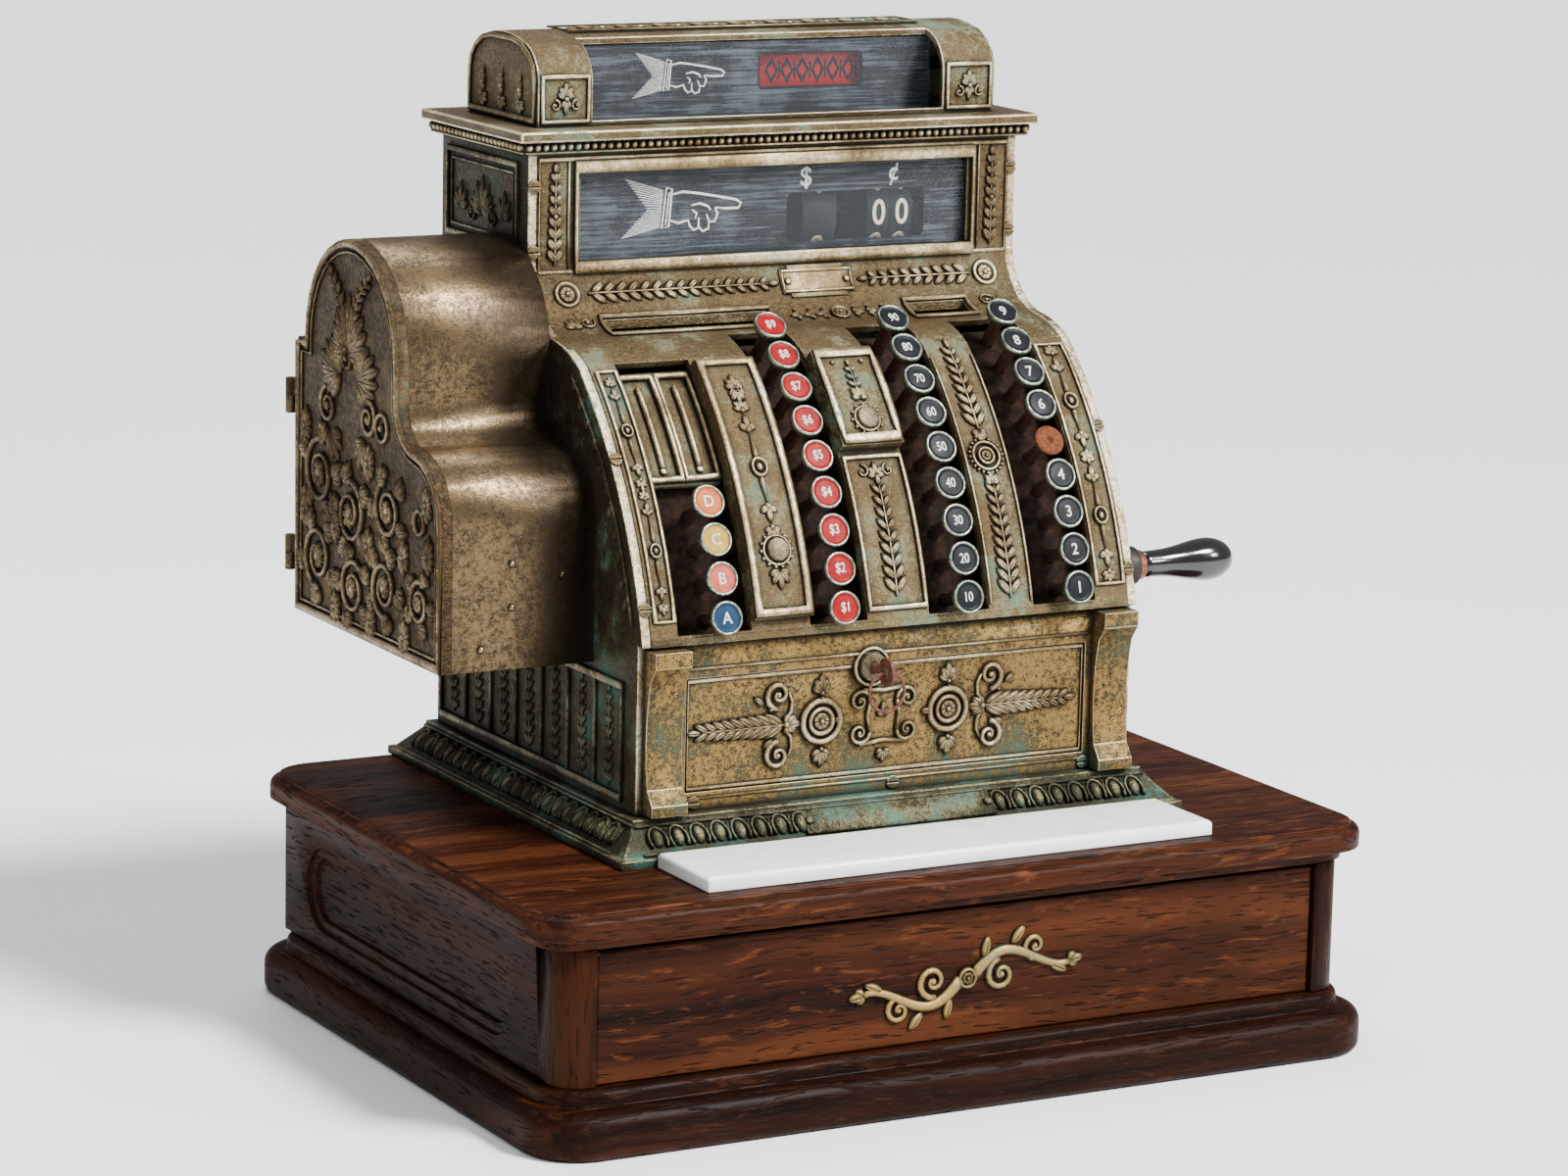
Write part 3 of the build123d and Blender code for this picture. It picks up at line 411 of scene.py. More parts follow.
def softened(
    node, name, width, materials, pick=None, flatRise=0.30, angle=28.0, edgeRise=1.0, rubbedFace=None
):
    # bevelled copy of a CAD node; rise is high on the rounded edges, where hands rub
    work = bmesh.new()
    work.from_mesh(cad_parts[node].data)
    bmesh.ops.remove_doubles(work, verts=work.verts, dist=2e-5)
    bmesh.ops.dissolve_limit(work, angle_limit=math.radians(0.8), verts=work.verts, edges=work.edges)
    mesh = bpy.data.meshes.new(name)
    work.to_mesh(mesh)
    work.free()
    for material in materials:
        mesh.materials.append(material)
    mesh.materials.append(materials[0])
    if pick:
        mesh.polygons.foreach_set("material_index", [pick(face) for face in mesh.polygons])
    else:
        mesh.polygons.foreach_set("material_index", [0] * len(mesh.polygons))
    piece = bpy.data.objects.new(name, mesh)
    scene.collection.objects.link(piece)
    for face in mesh.polygons:
        face.use_smooth = True
    bevel = piece.modifiers.new("edges", "BEVEL")
    bevel.width = width
    bevel.segments = 2
    bevel.limit_method = "ANGLE"
    bevel.angle_limit = math.radians(angle)
    bevel.harden_normals = True
    bevel.use_clamp_overlap = True
    bevel.material = len(materials)
    bake(piece)
    mesh = piece.data
    layer = mesh.attributes.new("rise", "FLOAT", "CORNER")
    values = []
    for face in mesh.polygons:
        value = edgeRise if face.material_index == len(materials) else flatRise
        if rubbedFace and rubbedFace(face):
            value = 0.85
        values += [value] * face.loop_total
    layer.data.foreach_set("value", values)
    if pick:
        indices = [pick(face) for face in mesh.polygons]
    else:
        indices = [0] * len(mesh.polygons)
    mesh.polygons.foreach_set("material_index", indices)
    mesh.materials.pop(index=len(materials))
    return piece


def layGrain(piece, chooser):
    # grainPlace: object place with the grain's axis first, shifted so boards differ
    mesh = piece.data
    layer = mesh.attributes.new("grainPlace", "FLOAT_VECTOR", "CORNER")
    flat = []
    for face in mesh.polygons:
        axis, shift = chooser(face)
        for index in face.vertices:
            place = mesh.vertices[index].co
            others = [place[other] for other in range(3) if other != axis]
            flat += [place[axis] + shift, others[0] + shift * 0.37, others[1]]
    layer.data.foreach_set("vector", flat)


# one Geometry Nodes tree sets a unit shape on marked points
def scatterTree():
    tree = bpy.data.node_groups.new("setOnPoints", "GeometryNodeTree")
    face = tree.interface
    face.new_socket("Geometry", in_out="INPUT", socket_type="NodeSocketGeometry")
    face.new_socket("Piece", in_out="INPUT", socket_type="NodeSocketObject")
    face.new_socket("Size", in_out="INPUT", socket_type="NodeSocketFloat").default_value = 1.0
    face.new_socket("Uneven", in_out="INPUT", socket_type="NodeSocketFloat").default_value = 0.0
    face.new_socket("Finish", in_out="INPUT", socket_type="NodeSocketMaterial")
    face.new_socket("Geometry", in_out="OUTPUT", socket_type="NodeSocketGeometry")
    nodes = tree.nodes
    links = tree.links
    start = nodes.new("NodeGroupInput")
    end = nodes.new("NodeGroupOutput")
    unit = nodes.new("GeometryNodeObjectInfo")
    links.new(start.outputs["Piece"], unit.inputs["Object"])
    turn = nodes.new("GeometryNodeInputNamedAttribute")
    turn.data_type = "FLOAT_VECTOR"
    turn.inputs["Name"].default_value = "turn"
    toTurn = nodes.new("FunctionNodeEulerToRotation")
    links.new(turn.outputs["Attribute"], toTurn.inputs[0])
    span = nodes.new("GeometryNodeInputNamedAttribute")
    span.data_type = "FLOAT_VECTOR"
    span.inputs["Name"].default_value = "span"
    spread = nodes.new("FunctionNodeRandomValue")
    spread.data_type = "FLOAT"
    spread.inputs["Seed"].default_value = 7
    spread.inputs[2].default_value = -1.0
    spread.inputs[3].default_value = 1.0
    uneven = nodes.new("ShaderNodeMath")
    uneven.operation = "MULTIPLY_ADD"
    links.new(spread.outputs[1], uneven.inputs[0])
    links.new(start.outputs["Uneven"], uneven.inputs[1])
    links.new(start.outputs["Size"], uneven.inputs[2])
    scaled = nodes.new("ShaderNodeVectorMath")
    scaled.operation = "SCALE"
    links.new(span.outputs["Attribute"], scaled.inputs[0])
    links.new(uneven.outputs[0], scaled.inputs["Scale"])
    put = nodes.new("GeometryNodeInstanceOnPoints")
    links.new(start.outputs["Geometry"], put.inputs["Points"])
    links.new(unit.outputs["Geometry"], put.inputs["Instance"])
    links.new(toTurn.outputs[0], put.inputs["Rotation"])
    links.new(scaled.outputs[0], put.inputs["Scale"])
    real = nodes.new("GeometryNodeRealizeInstances")
    links.new(put.outputs[0], real.inputs[0])
    paint = nodes.new("GeometryNodeSetMaterial")
    links.new(real.outputs[0], paint.inputs["Geometry"])
    links.new(start.outputs["Finish"], paint.inputs["Material"])
    links.new(paint.outputs[0], end.inputs[0])
    return tree


setOnPoints = scatterTree()
socketIds = {
    item.name: item.identifier for item in setOnPoints.interface.items_tree if item.in_out == "INPUT"
}


def setPieces(name, unit, spots, material, uneven=0.0):
    # spots: (matrix whose z stands off the surface, (width, length, height))
    mesh = bpy.data.meshes.new(name)
    mesh.from_pydata([tuple(matrix.translation) for matrix, span in spots], [], [])
    turns = mesh.attributes.new("turn", "FLOAT_VECTOR", "POINT")
    spans = mesh.attributes.new("span", "FLOAT_VECTOR", "POINT")
    turns.data.foreach_set("vector", [value for matrix, span in spots for value in matrix.to_euler()])
    spans.data.foreach_set("vector", [value for matrix, span in spots for value in span])
    piece = bpy.data.objects.new(name, mesh)
    scene.collection.objects.link(piece)
    modifier = piece.modifiers.new("set", "NODES")
    modifier.node_group = setOnPoints
    modifier[socketIds["Piece"]] = unit
    modifier[socketIds["Uneven"]] = uneven
    modifier[socketIds["Finish"]] = material
    return bake(piece)


# unit shapes for cast relief, one unit long, standing on z = 0
def unitShape(name, vertices, faces):
    rise = [min(1.0, max(0.0, vertex[2])) for vertex in vertices]
    piece = meshObject(name, vertices, faces, [], rise)
    turnOutward(piece)
    scene.collection.objects.unlink(piece)
    return piece


def unitLeaf(name, rows, outline, ridge=1.0, groove=0.35):
    # a leaf from (0, 0) to (0, 1): outline gives its half width along its length
    vertices = []
    faces = []
    across = [
        (-1.0, 0.0), (-0.62, 0.62), (-0.16, 0.95), (0.0, 1.0 - groove), (0.16, 0.95), (0.62, 0.62), (1.0, 0.0)
    ]
    for row in range(rows + 1):
        share = row / rows
        half = outline(share) * 0.5
        swell = min(1.0, outline(share) * 1.25) * ridge
        for side, high in across:
            vertices.append((side * half, share, high * swell))
    wide = len(across)
    for row in range(rows):
        for column in range(wide - 1):
            corner = row * wide + column
            faces.append((corner, corner + 1, corner + wide + 1, corner + wide))
        faces.append((row * wide, (row + 1) * wide, (row + 2) * wide - 1, (row + 1) * wide - 1))
    faces.append(tuple(range(wide)))
    return unitShape(name, vertices, faces)


def unitLathe(name, profile, sides):
    # profile: (radius, height) from the rim to the middle
    vertices = []
    faces = []
    for radius, high in profile:
        for side in range(sides):
            turn = 2 * math.pi * side / sides
            vertices.append((radius * math.cos(turn), radius * math.sin(turn), high))
    for ring in range(len(profile) - 1):
        for side in range(sides):
            following = (side + 1) % sides
            faces.append((ring * sides + side, ring * sides + following,
                          (ring + 1) * sides + following, (ring + 1) * sides + side))
    faces.append(tuple(range(sides)))
    return unitShape(name, vertices, faces)


reliefKit = {
    "leaf": unitLeaf("unitLeaf", 6, lambda t: math.sin(math.pi * min(1.0, t * 0.92 + 0.08)) ** 0.8),
    "petal": unitLeaf(
        "unitPetal", 5, lambda t: (0.45 + 0.75 * t) * math.sqrt(max(0.0, 1.0 - t ** 5)), groove=0.5
    ),
    "spear": unitLeaf("unitSpear", 6, lambda t: 1.0 - t if t > 0.22 else 0.35 + t * 2.4, groove=0.0),
    "bead": unitLathe("unitBead", [(0.5, 0.0), (0.47, 0.45), (0.33, 0.82), (0.12, 0.98), (0.0, 1.0)], 10),
    "ring": unitLathe(
        "unitRing", [(0.5, 0.0), (0.48, 0.7), (0.42, 1.0), (0.35, 0.75), (0.31, 0.15), (0.0, 0.12)], 20
    ),
    "screw": unitLathe("unitScrew", [(0.5, 0.0), (0.5, 0.6), (0.40, 0.95), (0.0, 1.0)], 14),
}


class Flat:
    def __init__(self, origin, right, up):
        self.origin = Vector(origin)
        self.right = Vector(right).normalized()
        self.up = Vector(up).normalized()
        self.out = self.right.cross(self.up)

    def at(self, u, v, height=0.0):
        return (self.origin + self.right * u + self.up * v + self.out * height) * mm

    def frame(self, u, v, angle, height=0.0):
        side = self.right * math.cos(angle) + self.up * math.sin(angle)
        along = self.up * math.cos(angle) - self.right * math.sin(angle)
        matrix = Matrix((side, along, self.out)).transposed().to_4x4()
        matrix.translation = self.at(u, v, height)
        return matrix


class Curved(Flat):
    # u is x, v is the arc length up the keyboard from the horizontal
    def __init__(self, centre, radius):
        self.centre = centre
        self.radius = radius

    def at(self, u, v, height=0.0):
        angle = v / self.radius
        reach = self.radius + height
        place = (u, self.centre[0] - reach * math.cos(angle), self.centre[1] + reach * math.sin(angle))
        return Vector(place) * mm

    def frame(self, u, v, angle, height=0.0):
        turn = v / self.radius
        self.right = Vector((1.0, 0.0, 0.0))
        self.up = Vector((0.0, math.sin(turn), math.cos(turn)))
        self.out = Vector((0.0, -math.cos(turn), math.sin(turn)))
        side = self.right * math.cos(angle) + self.up * math.sin(angle)
        along = self.up * math.cos(angle) - self.right * math.sin(angle)
        matrix = Matrix((side, along, self.out)).transposed().to_4x4()
        matrix.translation = self.at(u, v, height)
        return matrix


class Hollow(Flat):
    # inside of a cylinder along x: the cove under the window; v is 0 level with its axis
    def __init__(self, centre, radius):
        self.centre = centre
        self.radius = radius

    def at(self, u, v, height=0.0):
        angle = v / self.radius
        reach = self.radius - height
        place = (u, self.centre[0] + reach * math.cos(angle), self.centre[1] + reach * math.sin(angle))
        return Vector(place) * mm

    def frame(self, u, v, angle, height=0.0):
        turn = v / self.radius
        self.right = Vector((1.0, 0.0, 0.0))
        self.up = Vector((0.0, -math.sin(turn), math.cos(turn)))
        self.out = Vector((0.0, -math.cos(turn), -math.sin(turn)))
        side = self.right * math.cos(angle) + self.up * math.sin(angle)
        along = self.up * math.cos(angle) - self.right * math.sin(angle)
        matrix = Matrix((side, along, self.out)).transposed().to_4x4()
        matrix.translation = self.at(u, v, height)
        return matrix


reliefLook = {"leafWide": 1.32, "leafHigh": 1.3, "ribWide": 1.22, "ribHigh": 1.2}


class Relief:
    # collects cast ornament on a ground surface, laid out in millimetres of (u, v)
    def __init__(self, ground, high=1.6):
        self.ground = ground
        self.high = high
        self.spots = {}
        self.vertices = []
        self.faces = []
        self.rise = []

    def put(self, kind, u, v, angle, width, length, high=None, lift=0.0):
        matrix = self.ground.frame(u, v, angle, lift)
        wide = width * (reliefLook["leafWide"] if kind in ("leaf", "petal", "spear") else 1.0)
        span = (wide * mm, length * mm, (high or self.high) * reliefLook["leafHigh"] * mm)
        self.spots.setdefault(kind, []).append((matrix, span))

    def strand(self, points, widths, high=None, closed=False, lift=0.0, flat=False):
        # half-round rib along (u, v) points; widths is one number or (start, end)
        high = (high or self.high) * reliefLook["ribHigh"]
        count = len(points)
        first = len(self.vertices)
        section = [(-0.5, 0.0), (-0.36, 0.72), (0.0, 1.0), (0.36, 0.72), (0.5, 0.0)]
        if flat:
            section = [(-0.5, 0.0), (-0.42, 0.9), (0.0, 1.0), (0.42, 0.9), (0.5, 0.0)]
        for index, (u, v) in enumerate(points):
            before = points[index - 1] if index or closed else points[0]
            after = points[(index + 1) % count] if index < count - 1 or closed else points[-1]
            du, dv = after[0] - before[0], after[1] - before[1]
            length = math.hypot(du, dv) or 1.0
            side = (-dv / length, du / length)
            mitre = 1.0
            if closed or 0 < index < count - 1:
                one = Vector((u - before[0], v - before[1]))
                two = Vector((after[0] - u, after[1] - v))
                if one.length and two.length:
                    mitre = 1.0 / max(0.5, math.cos(one.angle(two) / 2))
            share = index / max(1, count - 1)
            if isinstance(widths, (int, float)):
                width = widths
            else:
                width = widths[0] + (widths[1] - widths[0]) * share
            width *= reliefLook["ribWide"]
            for across, up in section:
                place = self.ground.at(
                    u + side[0] * across * width * mitre, v + side[1] * across * width * mitre,
                    lift + up * high
                )
                self.vertices.append(place)
                self.rise.append(up)
        wide = len(section)
        stretches = count if closed else count - 1
        for index in range(stretches):
            low = first + index * wide
            far = first + ((index + 1) % count) * wide
            for column in range(wide):
                after = (column + 1) % wide
                self.faces.append((low + column, far + column, far + after, low + after))
        if not closed:
            self.faces.append(tuple(first + column for column in range(wide)))
            self.faces.append(tuple(first + (count - 1) * wide + column for column in reversed(range(wide))))

    def box(self, lowU, highU, lowV, highV, width, high=None, lift=0.0, steps=1):
        corners = [(lowU, lowV), (highU, lowV), (highU, highV), (lowU, highV)]
        points = []
        for index, start in enumerate(corners):
            end = corners[(index + 1) % 4]
            count = steps if start[0] == end[0] else max(1, steps // 4)
            for part in range(count):
                share = part / count
                points.append(
                    (start[0] + (end[0] - start[0]) * share, start[1] + (end[1] - start[1]) * share)
                )
        self.strand(points, width, high, closed=True, lift=lift, flat=True)

    def slab(self, lowU, highU, lowV, highV, high, lift=0.0, stepsU=1, stepsV=1, rim=0.0):
        # raised patch that follows the ground, with sloped edges
        first = len(self.vertices)
        slope = min(0.8, high)
        us = [lowU, lowU + slope]
        us += [lowU + (highU - lowU) * i / stepsU for i in range(1, stepsU)]
        us += [highU - slope, highU]
        vs = [lowV, lowV + slope]
        vs += [lowV + (highV - lowV) * i / stepsV for i in range(1, stepsV)]
        vs += [highV - slope, highV]
        for row, v in enumerate(vs):
            for column, u in enumerate(us):
                edge = row in (0, len(vs) - 1) or column in (0, len(us) - 1)
                self.vertices.append(self.ground.at(u, v, lift + (0.0 if edge else high)))
                self.rise.append(0.9 if edge else rim)
        wide = len(us)
        under = len(self.vertices)
        for v in vs:
            for u in us:
                self.vertices.append(self.ground.at(u, v, lift))
                self.rise.append(0.0)
        for row in range(len(vs) - 1):
            for column in range(wide - 1):
                low = first + row * wide + column
                base = under + row * wide + column
                self.faces.append((low, low + 1, low + wide + 1, low + wide))
                self.faces.append((base, base + wide, base + wide + 1, base + 1))

    def scroll(self, u, v, radius, start, turns, width, hand=1, high=None):
        # spiral from its outer end at angle start, winding in to a bead
        count = max(8, int(14 * turns))
        points = []
        for index in range(count + 1):
            share = index / count
            reach = radius * (1.0 - 0.86 * share)
            turn = start + hand * share * turns * 2 * math.pi
            points.append((u + reach * math.cos(turn), v + reach * math.sin(turn)))
        self.strand(points, (width, width * 0.6), high)
        self.put("bead", u, v, 0.0, radius * 0.5, radius * 0.5, high)
        return points[0]

    def fan(self, u, v, aim, count, spread, length, width, high=None, kind="leaf"):
        # leaves spreading from a point about the direction aim
        for index in range(count):
            share = index / (count - 1) - 0.5 if count > 1 else 0.0
            reach = length * (1.0 - 0.35 * abs(share) * 2)
            self.put(kind, u, v, aim + share * spread - math.pi / 2, width, reach, high)

    def sprig(self, start, end, pairs, length, width, bend=0.0, high=None, opening=0.62):
        # stem with leaf pairs along it, like laurel
        du, dv = end[0] - start[0], end[1] - start[1]
        reach = math.hypot(du, dv)
        aim = math.atan2(dv, du)
        points = []
        for index in range(13):
            share = index / 12
            bow = math.sin(math.pi * share) * bend
            points.append(
                (start[0] + du * share - math.sin(aim) * bow, start[1] + dv * share + math.cos(aim) * bow)
            )
        self.strand(points, (width * 0.34, width * 0.22), (high or self.high) * 0.8)
        for index in range(pairs):
            share = (index + 0.3) / pairs
            bow = math.sin(math.pi * share) * bend
            u = start[0] + du * share - math.sin(aim) * bow
            v = start[1] + dv * share + math.cos(aim) * bow
            tilt = aim + math.cos(math.pi * share) * bend / max(reach, 1e-6) * math.pi
            shrink = 1.0 - 0.35 * share
            for hand in (-1, 1):
                self.put(
                    "leaf", u, v, tilt + hand * opening - math.pi / 2, width * shrink, length * shrink, high
                )
        self.put("leaf", end[0], end[1], aim - math.pi / 2, width * 0.7, length * 0.7, high)

    def rosette(self, u, v, radius, petals=8, high=None):
        high = high or self.high
        self.put("ring", u, v, 0.0, radius * 2, radius * 2, high)
        for index in range(petals):
            turn = 2 * math.pi * index / petals
            self.put("petal", u, v, turn, radius * 0.62, radius * 0.62, high * 0.95)
        self.put("bead", u, v, 0.0, radius * 0.42, radius * 0.42, high * 1.25)

    def build(self, name, material, body, slotName="cast_brass"):
        parts = []
        if self.vertices:
            rib = meshObject(name, self.vertices, self.faces, [material], self.rise)
            turnOutward(rib)
            parts.append(rib)
        for kind, spots in self.spots.items():
            parts.append(setPieces(f"{name}_{kind}", reliefKit[kind], spots, material))
        main = parts[0]
        if len(parts) > 1:
            joinInto(main, parts[1:])
        main.name = name
        main.data.name = name
        for face in main.data.polygons:
            face.use_smooth = True
        if body:
            settle(main, body)
        return main


def joinInto(main, others):
    bpy.ops.object.select_all(action="DESELECT")
    for piece in (main, *others):
        piece.select_set(True)
    bpy.context.view_layer.objects.active = main
    bpy.ops.object.join()


def circle(u, v, radius, count=28):
    return [
        (
            u + radius * math.cos(2 * math.pi * index / count),
            v + radius * math.sin(2 * math.pi * index / count)
        )
        for index in range(count)
    ]


print("relief kit ready")

# the room: floor, sky, sun, three soft lamps and the camera
studio = {
    "floor": (0.94, 0.94, 0.935),
    "floorReach": 16.0,
    "sky": 0.34,
    "sun": {"place": (0.55, -0.95, 1.25), "strength": 8.0, "soft": 14.0},
    "lamps": [
        # place, aim, size, watts
        ((1.35, -1.75, 1.25), (0.05, 0.0, 0.30), 0.45, 34.0),
        ((-1.30, -1.60, 1.60), (-0.15, 0.0, 0.35), 0.40, 20.0),
        ((-0.1, 0.6, 2.0), (0.0, 0.0, 0.3), 0.9, 24.0),
    ],
    "cameraPlace": (-1.4174, -2.5436, 0.8348),
    "cameraTurn": (78.6423, -1.2493, -28.5372),
    "lens": 121.13,
}


def buildStudio():
    size = studio["floorReach"]
    corners = [(-size, -size, 0.0), (size, -size, 0.0), (size, size, 0.0), (-size, size, 0.0)]
    net = Net("paleFloor")
    cloud = net.noise(net.objectPlace(), 3.0, 3.0)
    tone = studio["floor"]
    base = net.blend(cloud, tone, tuple(channel * 0.975 for channel in tone))
    floor = meshObject("floor", corners, [(0, 1, 2, 3)], [net.surface(Base_Color=base, Roughness=0.6)])
    world = bpy.data.worlds.new("softSky")
    world.use_nodes = True
    sky = world.node_tree.nodes["Background"]
    sky.inputs[0].default_value = (0.95, 0.97, 1.0, 1.0)
    sky.inputs[1].default_value = studio["sky"]
    scene.world = world
    sun = bpy.data.lights.new("softSun", "SUN")
    sun.energy = studio["sun"]["strength"]
    sun.angle = math.radians(studio["sun"]["soft"])
    sunHolder = bpy.data.objects.new("softSun", sun)
    sunHolder.rotation_euler = (Vector(studio["sun"]["place"]) * -1.0).to_track_quat("-Z", "Y").to_euler()
    scene.collection.objects.link(sunHolder)
    for number, (place, aim, width, watts) in enumerate(studio["lamps"]):
        lamp = bpy.data.lights.new(f"softLamp{number + 1}", "AREA")
        lamp.size = width
        lamp.energy = watts
        holder = bpy.data.objects.new(lamp.name, lamp)
        holder.location = place
        holder.rotation_euler = (Vector(aim) - Vector(place)).to_track_quat("-Z", "Y").to_euler()
        scene.collection.objects.link(holder)
    view = bpy.data.cameras.new("camera")
    view.lens = studio["lens"]
    view.sensor_width = 36.0
    view.clip_end = 50.0
    camera = bpy.data.objects.new("camera", view)
    camera.location = studio["cameraPlace"]
    camera.rotation_euler = [math.radians(angle) for angle in studio["cameraTurn"]]
    scene.collection.objects.link(camera)
    scene.camera = camera


buildStudio()
print("studio ready")

# oak case, top board and drawer
oakCase = {"edge": 1.2, "topEdge": 1.6, "drawerEdge": 1.0}


def boardGrain(face):
    # plinth and sides run with their length, posts stand upright
    middle = face.center / mm
    if abs(middle.x) > 223.0 and middle.y < -152.0 and middle.z > 35.0:
        return 2, 0.31
    if abs(face.normal.x) > abs(face.normal.y) and abs(middle.x) > 200.0:
        return 1, 0.17 if middle.z > 34.0 else 0.53
    return 0, 0.71 if middle.z > 34.0 else 0.05


def buildCase():
    case = softened("drawer_case", "oak_case", oakCase["edge"] * mm, [oakDark], edgeRise=0.5)
    layGrain(case, boardGrain)
    settle(case, "cabinet", ["drawer_case"])
    top = softened("top_board", "oak_top", oakCase["topEdge"] * mm, [oakTop], flatRise=0.25)
    layGrain(top, lambda face: (1, 0.9) if abs(face.normal.x) > 0.7 else (0, 0.43))
    settle(top, "cabinet", ["top_board"])
    drawer = softened(
        "drawer_box", "oak_drawer", oakCase["drawerEdge"] * mm, [oakFront, tillWood],
        pick=lambda face: 0 if face.center.y < -0.1605 else 1, flatRise=0.15,
    )
    layGrain(drawer, lambda face: (0, 1.37))
    settle(drawer, "drawer", ["drawer_box"])
    till = softened("till_tray", "wooden_till", 0.6 * mm, [tillWood])
    settle(till, "drawer", ["till_tray"])
    slab = softened("marble_shelf", "marble_slab", 0.8 * mm, [marbleWhite])
    settle(slab, "cabinet", ["marble_shelf"])


buildCase()
print("oak case done")

# brass castings: rounded copies of the CAD, with the ornament laid on them below
castings = {
    # node: (piece name, edge radius in mm, finish)
    "base_casting": ("base_moulding", 1.0, brassCasting),
    "cabinet_walls": ("cabinet_shell", 1.1, brassPanel),
    "lower_front_panel": ("drawer_lock_panel", 0.9, brassLower),
    "upper_front_panel": ("window_panel", 1.0, brassPanel),
    "cornice": ("cornice_moulding", 1.2, brassPanel),
    "sign_housing": ("sign_case", 1.3, brassPanel),
    "printer_cover": ("printer_shell", 0.8, brassPrinter),
    "cabinet_screws": ("slotted_screws", 0.25, brassOrnament),
}
arcCentre = (167.6, 189.4)
arcRadius = 266.0


def arcReach(face):
    middle = face.center / mm
    return math.hypot(middle.y - arcCentre[0], middle.z - arcCentre[1])


def buildCastings():
    for node, (name, edge, finish) in castings.items():
        if node == "cabinet_walls":
            # flanks get a darker copy of the brass as painted shade, front edges rubbed
            piece = softened(node, name, edge * mm, [finish, brassSide], flatRise=0.22,
                             pick=lambda face: 1 if abs(face.normal.x) > 0.9 else 0,
                             rubbedFace=lambda face: face.normal.y < -0.3)
        else:
            piece = softened(node, name, edge * mm, [finish], flatRise=0.22)
        settle(piece, "cabinet", [node])
    # faces inside the key slots take the near-black rust, painted shade in the slots
    front = softened(
        "keyboard_front", "keyboard_casting", 1.5 * mm, [brassKeyboard, darkRust],
        pick=lambda face: 1 if arcReach(face) < 250.6 else 0,
    )
    settle(front, "cabinet", ["keyboard_front"])
    door = softened("printer_door", "printer_lid", 1.2 * mm, [brassLid], flatRise=0.12)
    settle(door, "printer_door", ["printer_door"])
    locks = softened("lock_barrels", "lock_faces", 0.7 * mm, [darkBrass])
    settle(locks, "cabinet", ["lock_barrels"])


buildCastings()
print("castings done")

# window ornament, cove and shoulder
windowFrame = {"leafHigh": 1.7, "frameHigh": 2.6, "frameWidth": 4.6}
windowFace = Flat((0, 54, 0), (1, 0, 0), (0, 0, 1))
cove = Hollow((14.73, 435.79), 39.29)


def buildWindowOrnament():
    frameRelief = Relief(windowFace, windowFrame["frameHigh"])
    frameRelief.box(-127.0, 127.0, 431.2, 487.0, windowFrame["frameWidth"])
    frameRelief.box(-149.4, 149.4, 429.0, 491.6, 1.5, 1.0)
    for side in (-1, 1):
        frameRelief.strand([(side * 131.2, 430.0), (side * 131.2, 490.8)], 1.3, 1.0)
        stem = side * 139.6
        frameRelief.sprig((stem, 433.0), (stem, 484.0), 8, 8.6, 4.4, high=1.9, opening=0.55)
        frameRelief.put("bead", stem, 460.0, 0.0, 3.4, 3.4, 2.2)
    frameRelief.build("window_frame_ornament", brassOrnament, "cabinet")
    band = Relief(cove, windowFrame["leafHigh"])
    band.sprig((-121.0, -20.0), (-8.0, -20.0), 15, 11.0, 4.6, high=2.0, opening=0.66)
    band.sprig((124.0, -20.0), (57.0, -20.0), 9, 11.0, 4.6, high=2.0, opening=0.66)
    for side in (-1, 1):
        band.rosette(side * 134.0, -20.0, 8.2, 8, 1.6)
        band.fan(side * 137.0, -44.0, math.pi / 2, 5, 2.4, 10.0, 3.6, 1.5)
        band.scroll(side * 128.0, -40.0, 5.0, 0.5, 1.2, 1.3, side, 1.2)
    band.slab(0.0, 47.0, -27.5, -11.5, 1.2, stepsU=4, stepsV=4, rim=0.75)
    band.slab(5.0, 42.0, -30.0, -9.0, 0.9, stepsU=4, stepsV=4, rim=0.7)
    band.box(1.6, 45.4, -26.0, -13.0, 1.0, 0.7, lift=1.1, steps=4)
    for u in (4.6, 42.4):
        band.put("screw", u, -19.5, 0.0, 4.0, 4.0, 1.4, lift=1.0)
    for low, high in ((-119.0, -13.0), (74.0, 115.0)):
        band.box(low, high, -54.4, -35.6, 2.2, 1.5, steps=5)
    band.rosette(30.0, -44.0, 6.0, 8, 1.7)
    for side in (-1, 1):
        for step, reach in enumerate((9.0, 18.0, 27.0)):
            aim = 0.0 if side > 0 else math.pi
            band.fan(30.0 + side * reach, -44.0, aim, 3, 2.0, 7.5 - step, 3.4, 1.5)
            band.put("bead", 30.0 + side * (reach + 1.0), -39.5, 0.0, 1.8, 1.8)
            band.put("bead", 30.0 + side * (reach + 1.0), -48.5, 0.0, 1.8, 1.8)
    band.build("cove_laurels", brassOrnament, "cabinet")


buildWindowOrnament()

# keyboard ornament: v is measured along the arc, so an angle is turned into a length
def arcAt(radius, angle):
    return radius * math.radians(angle)


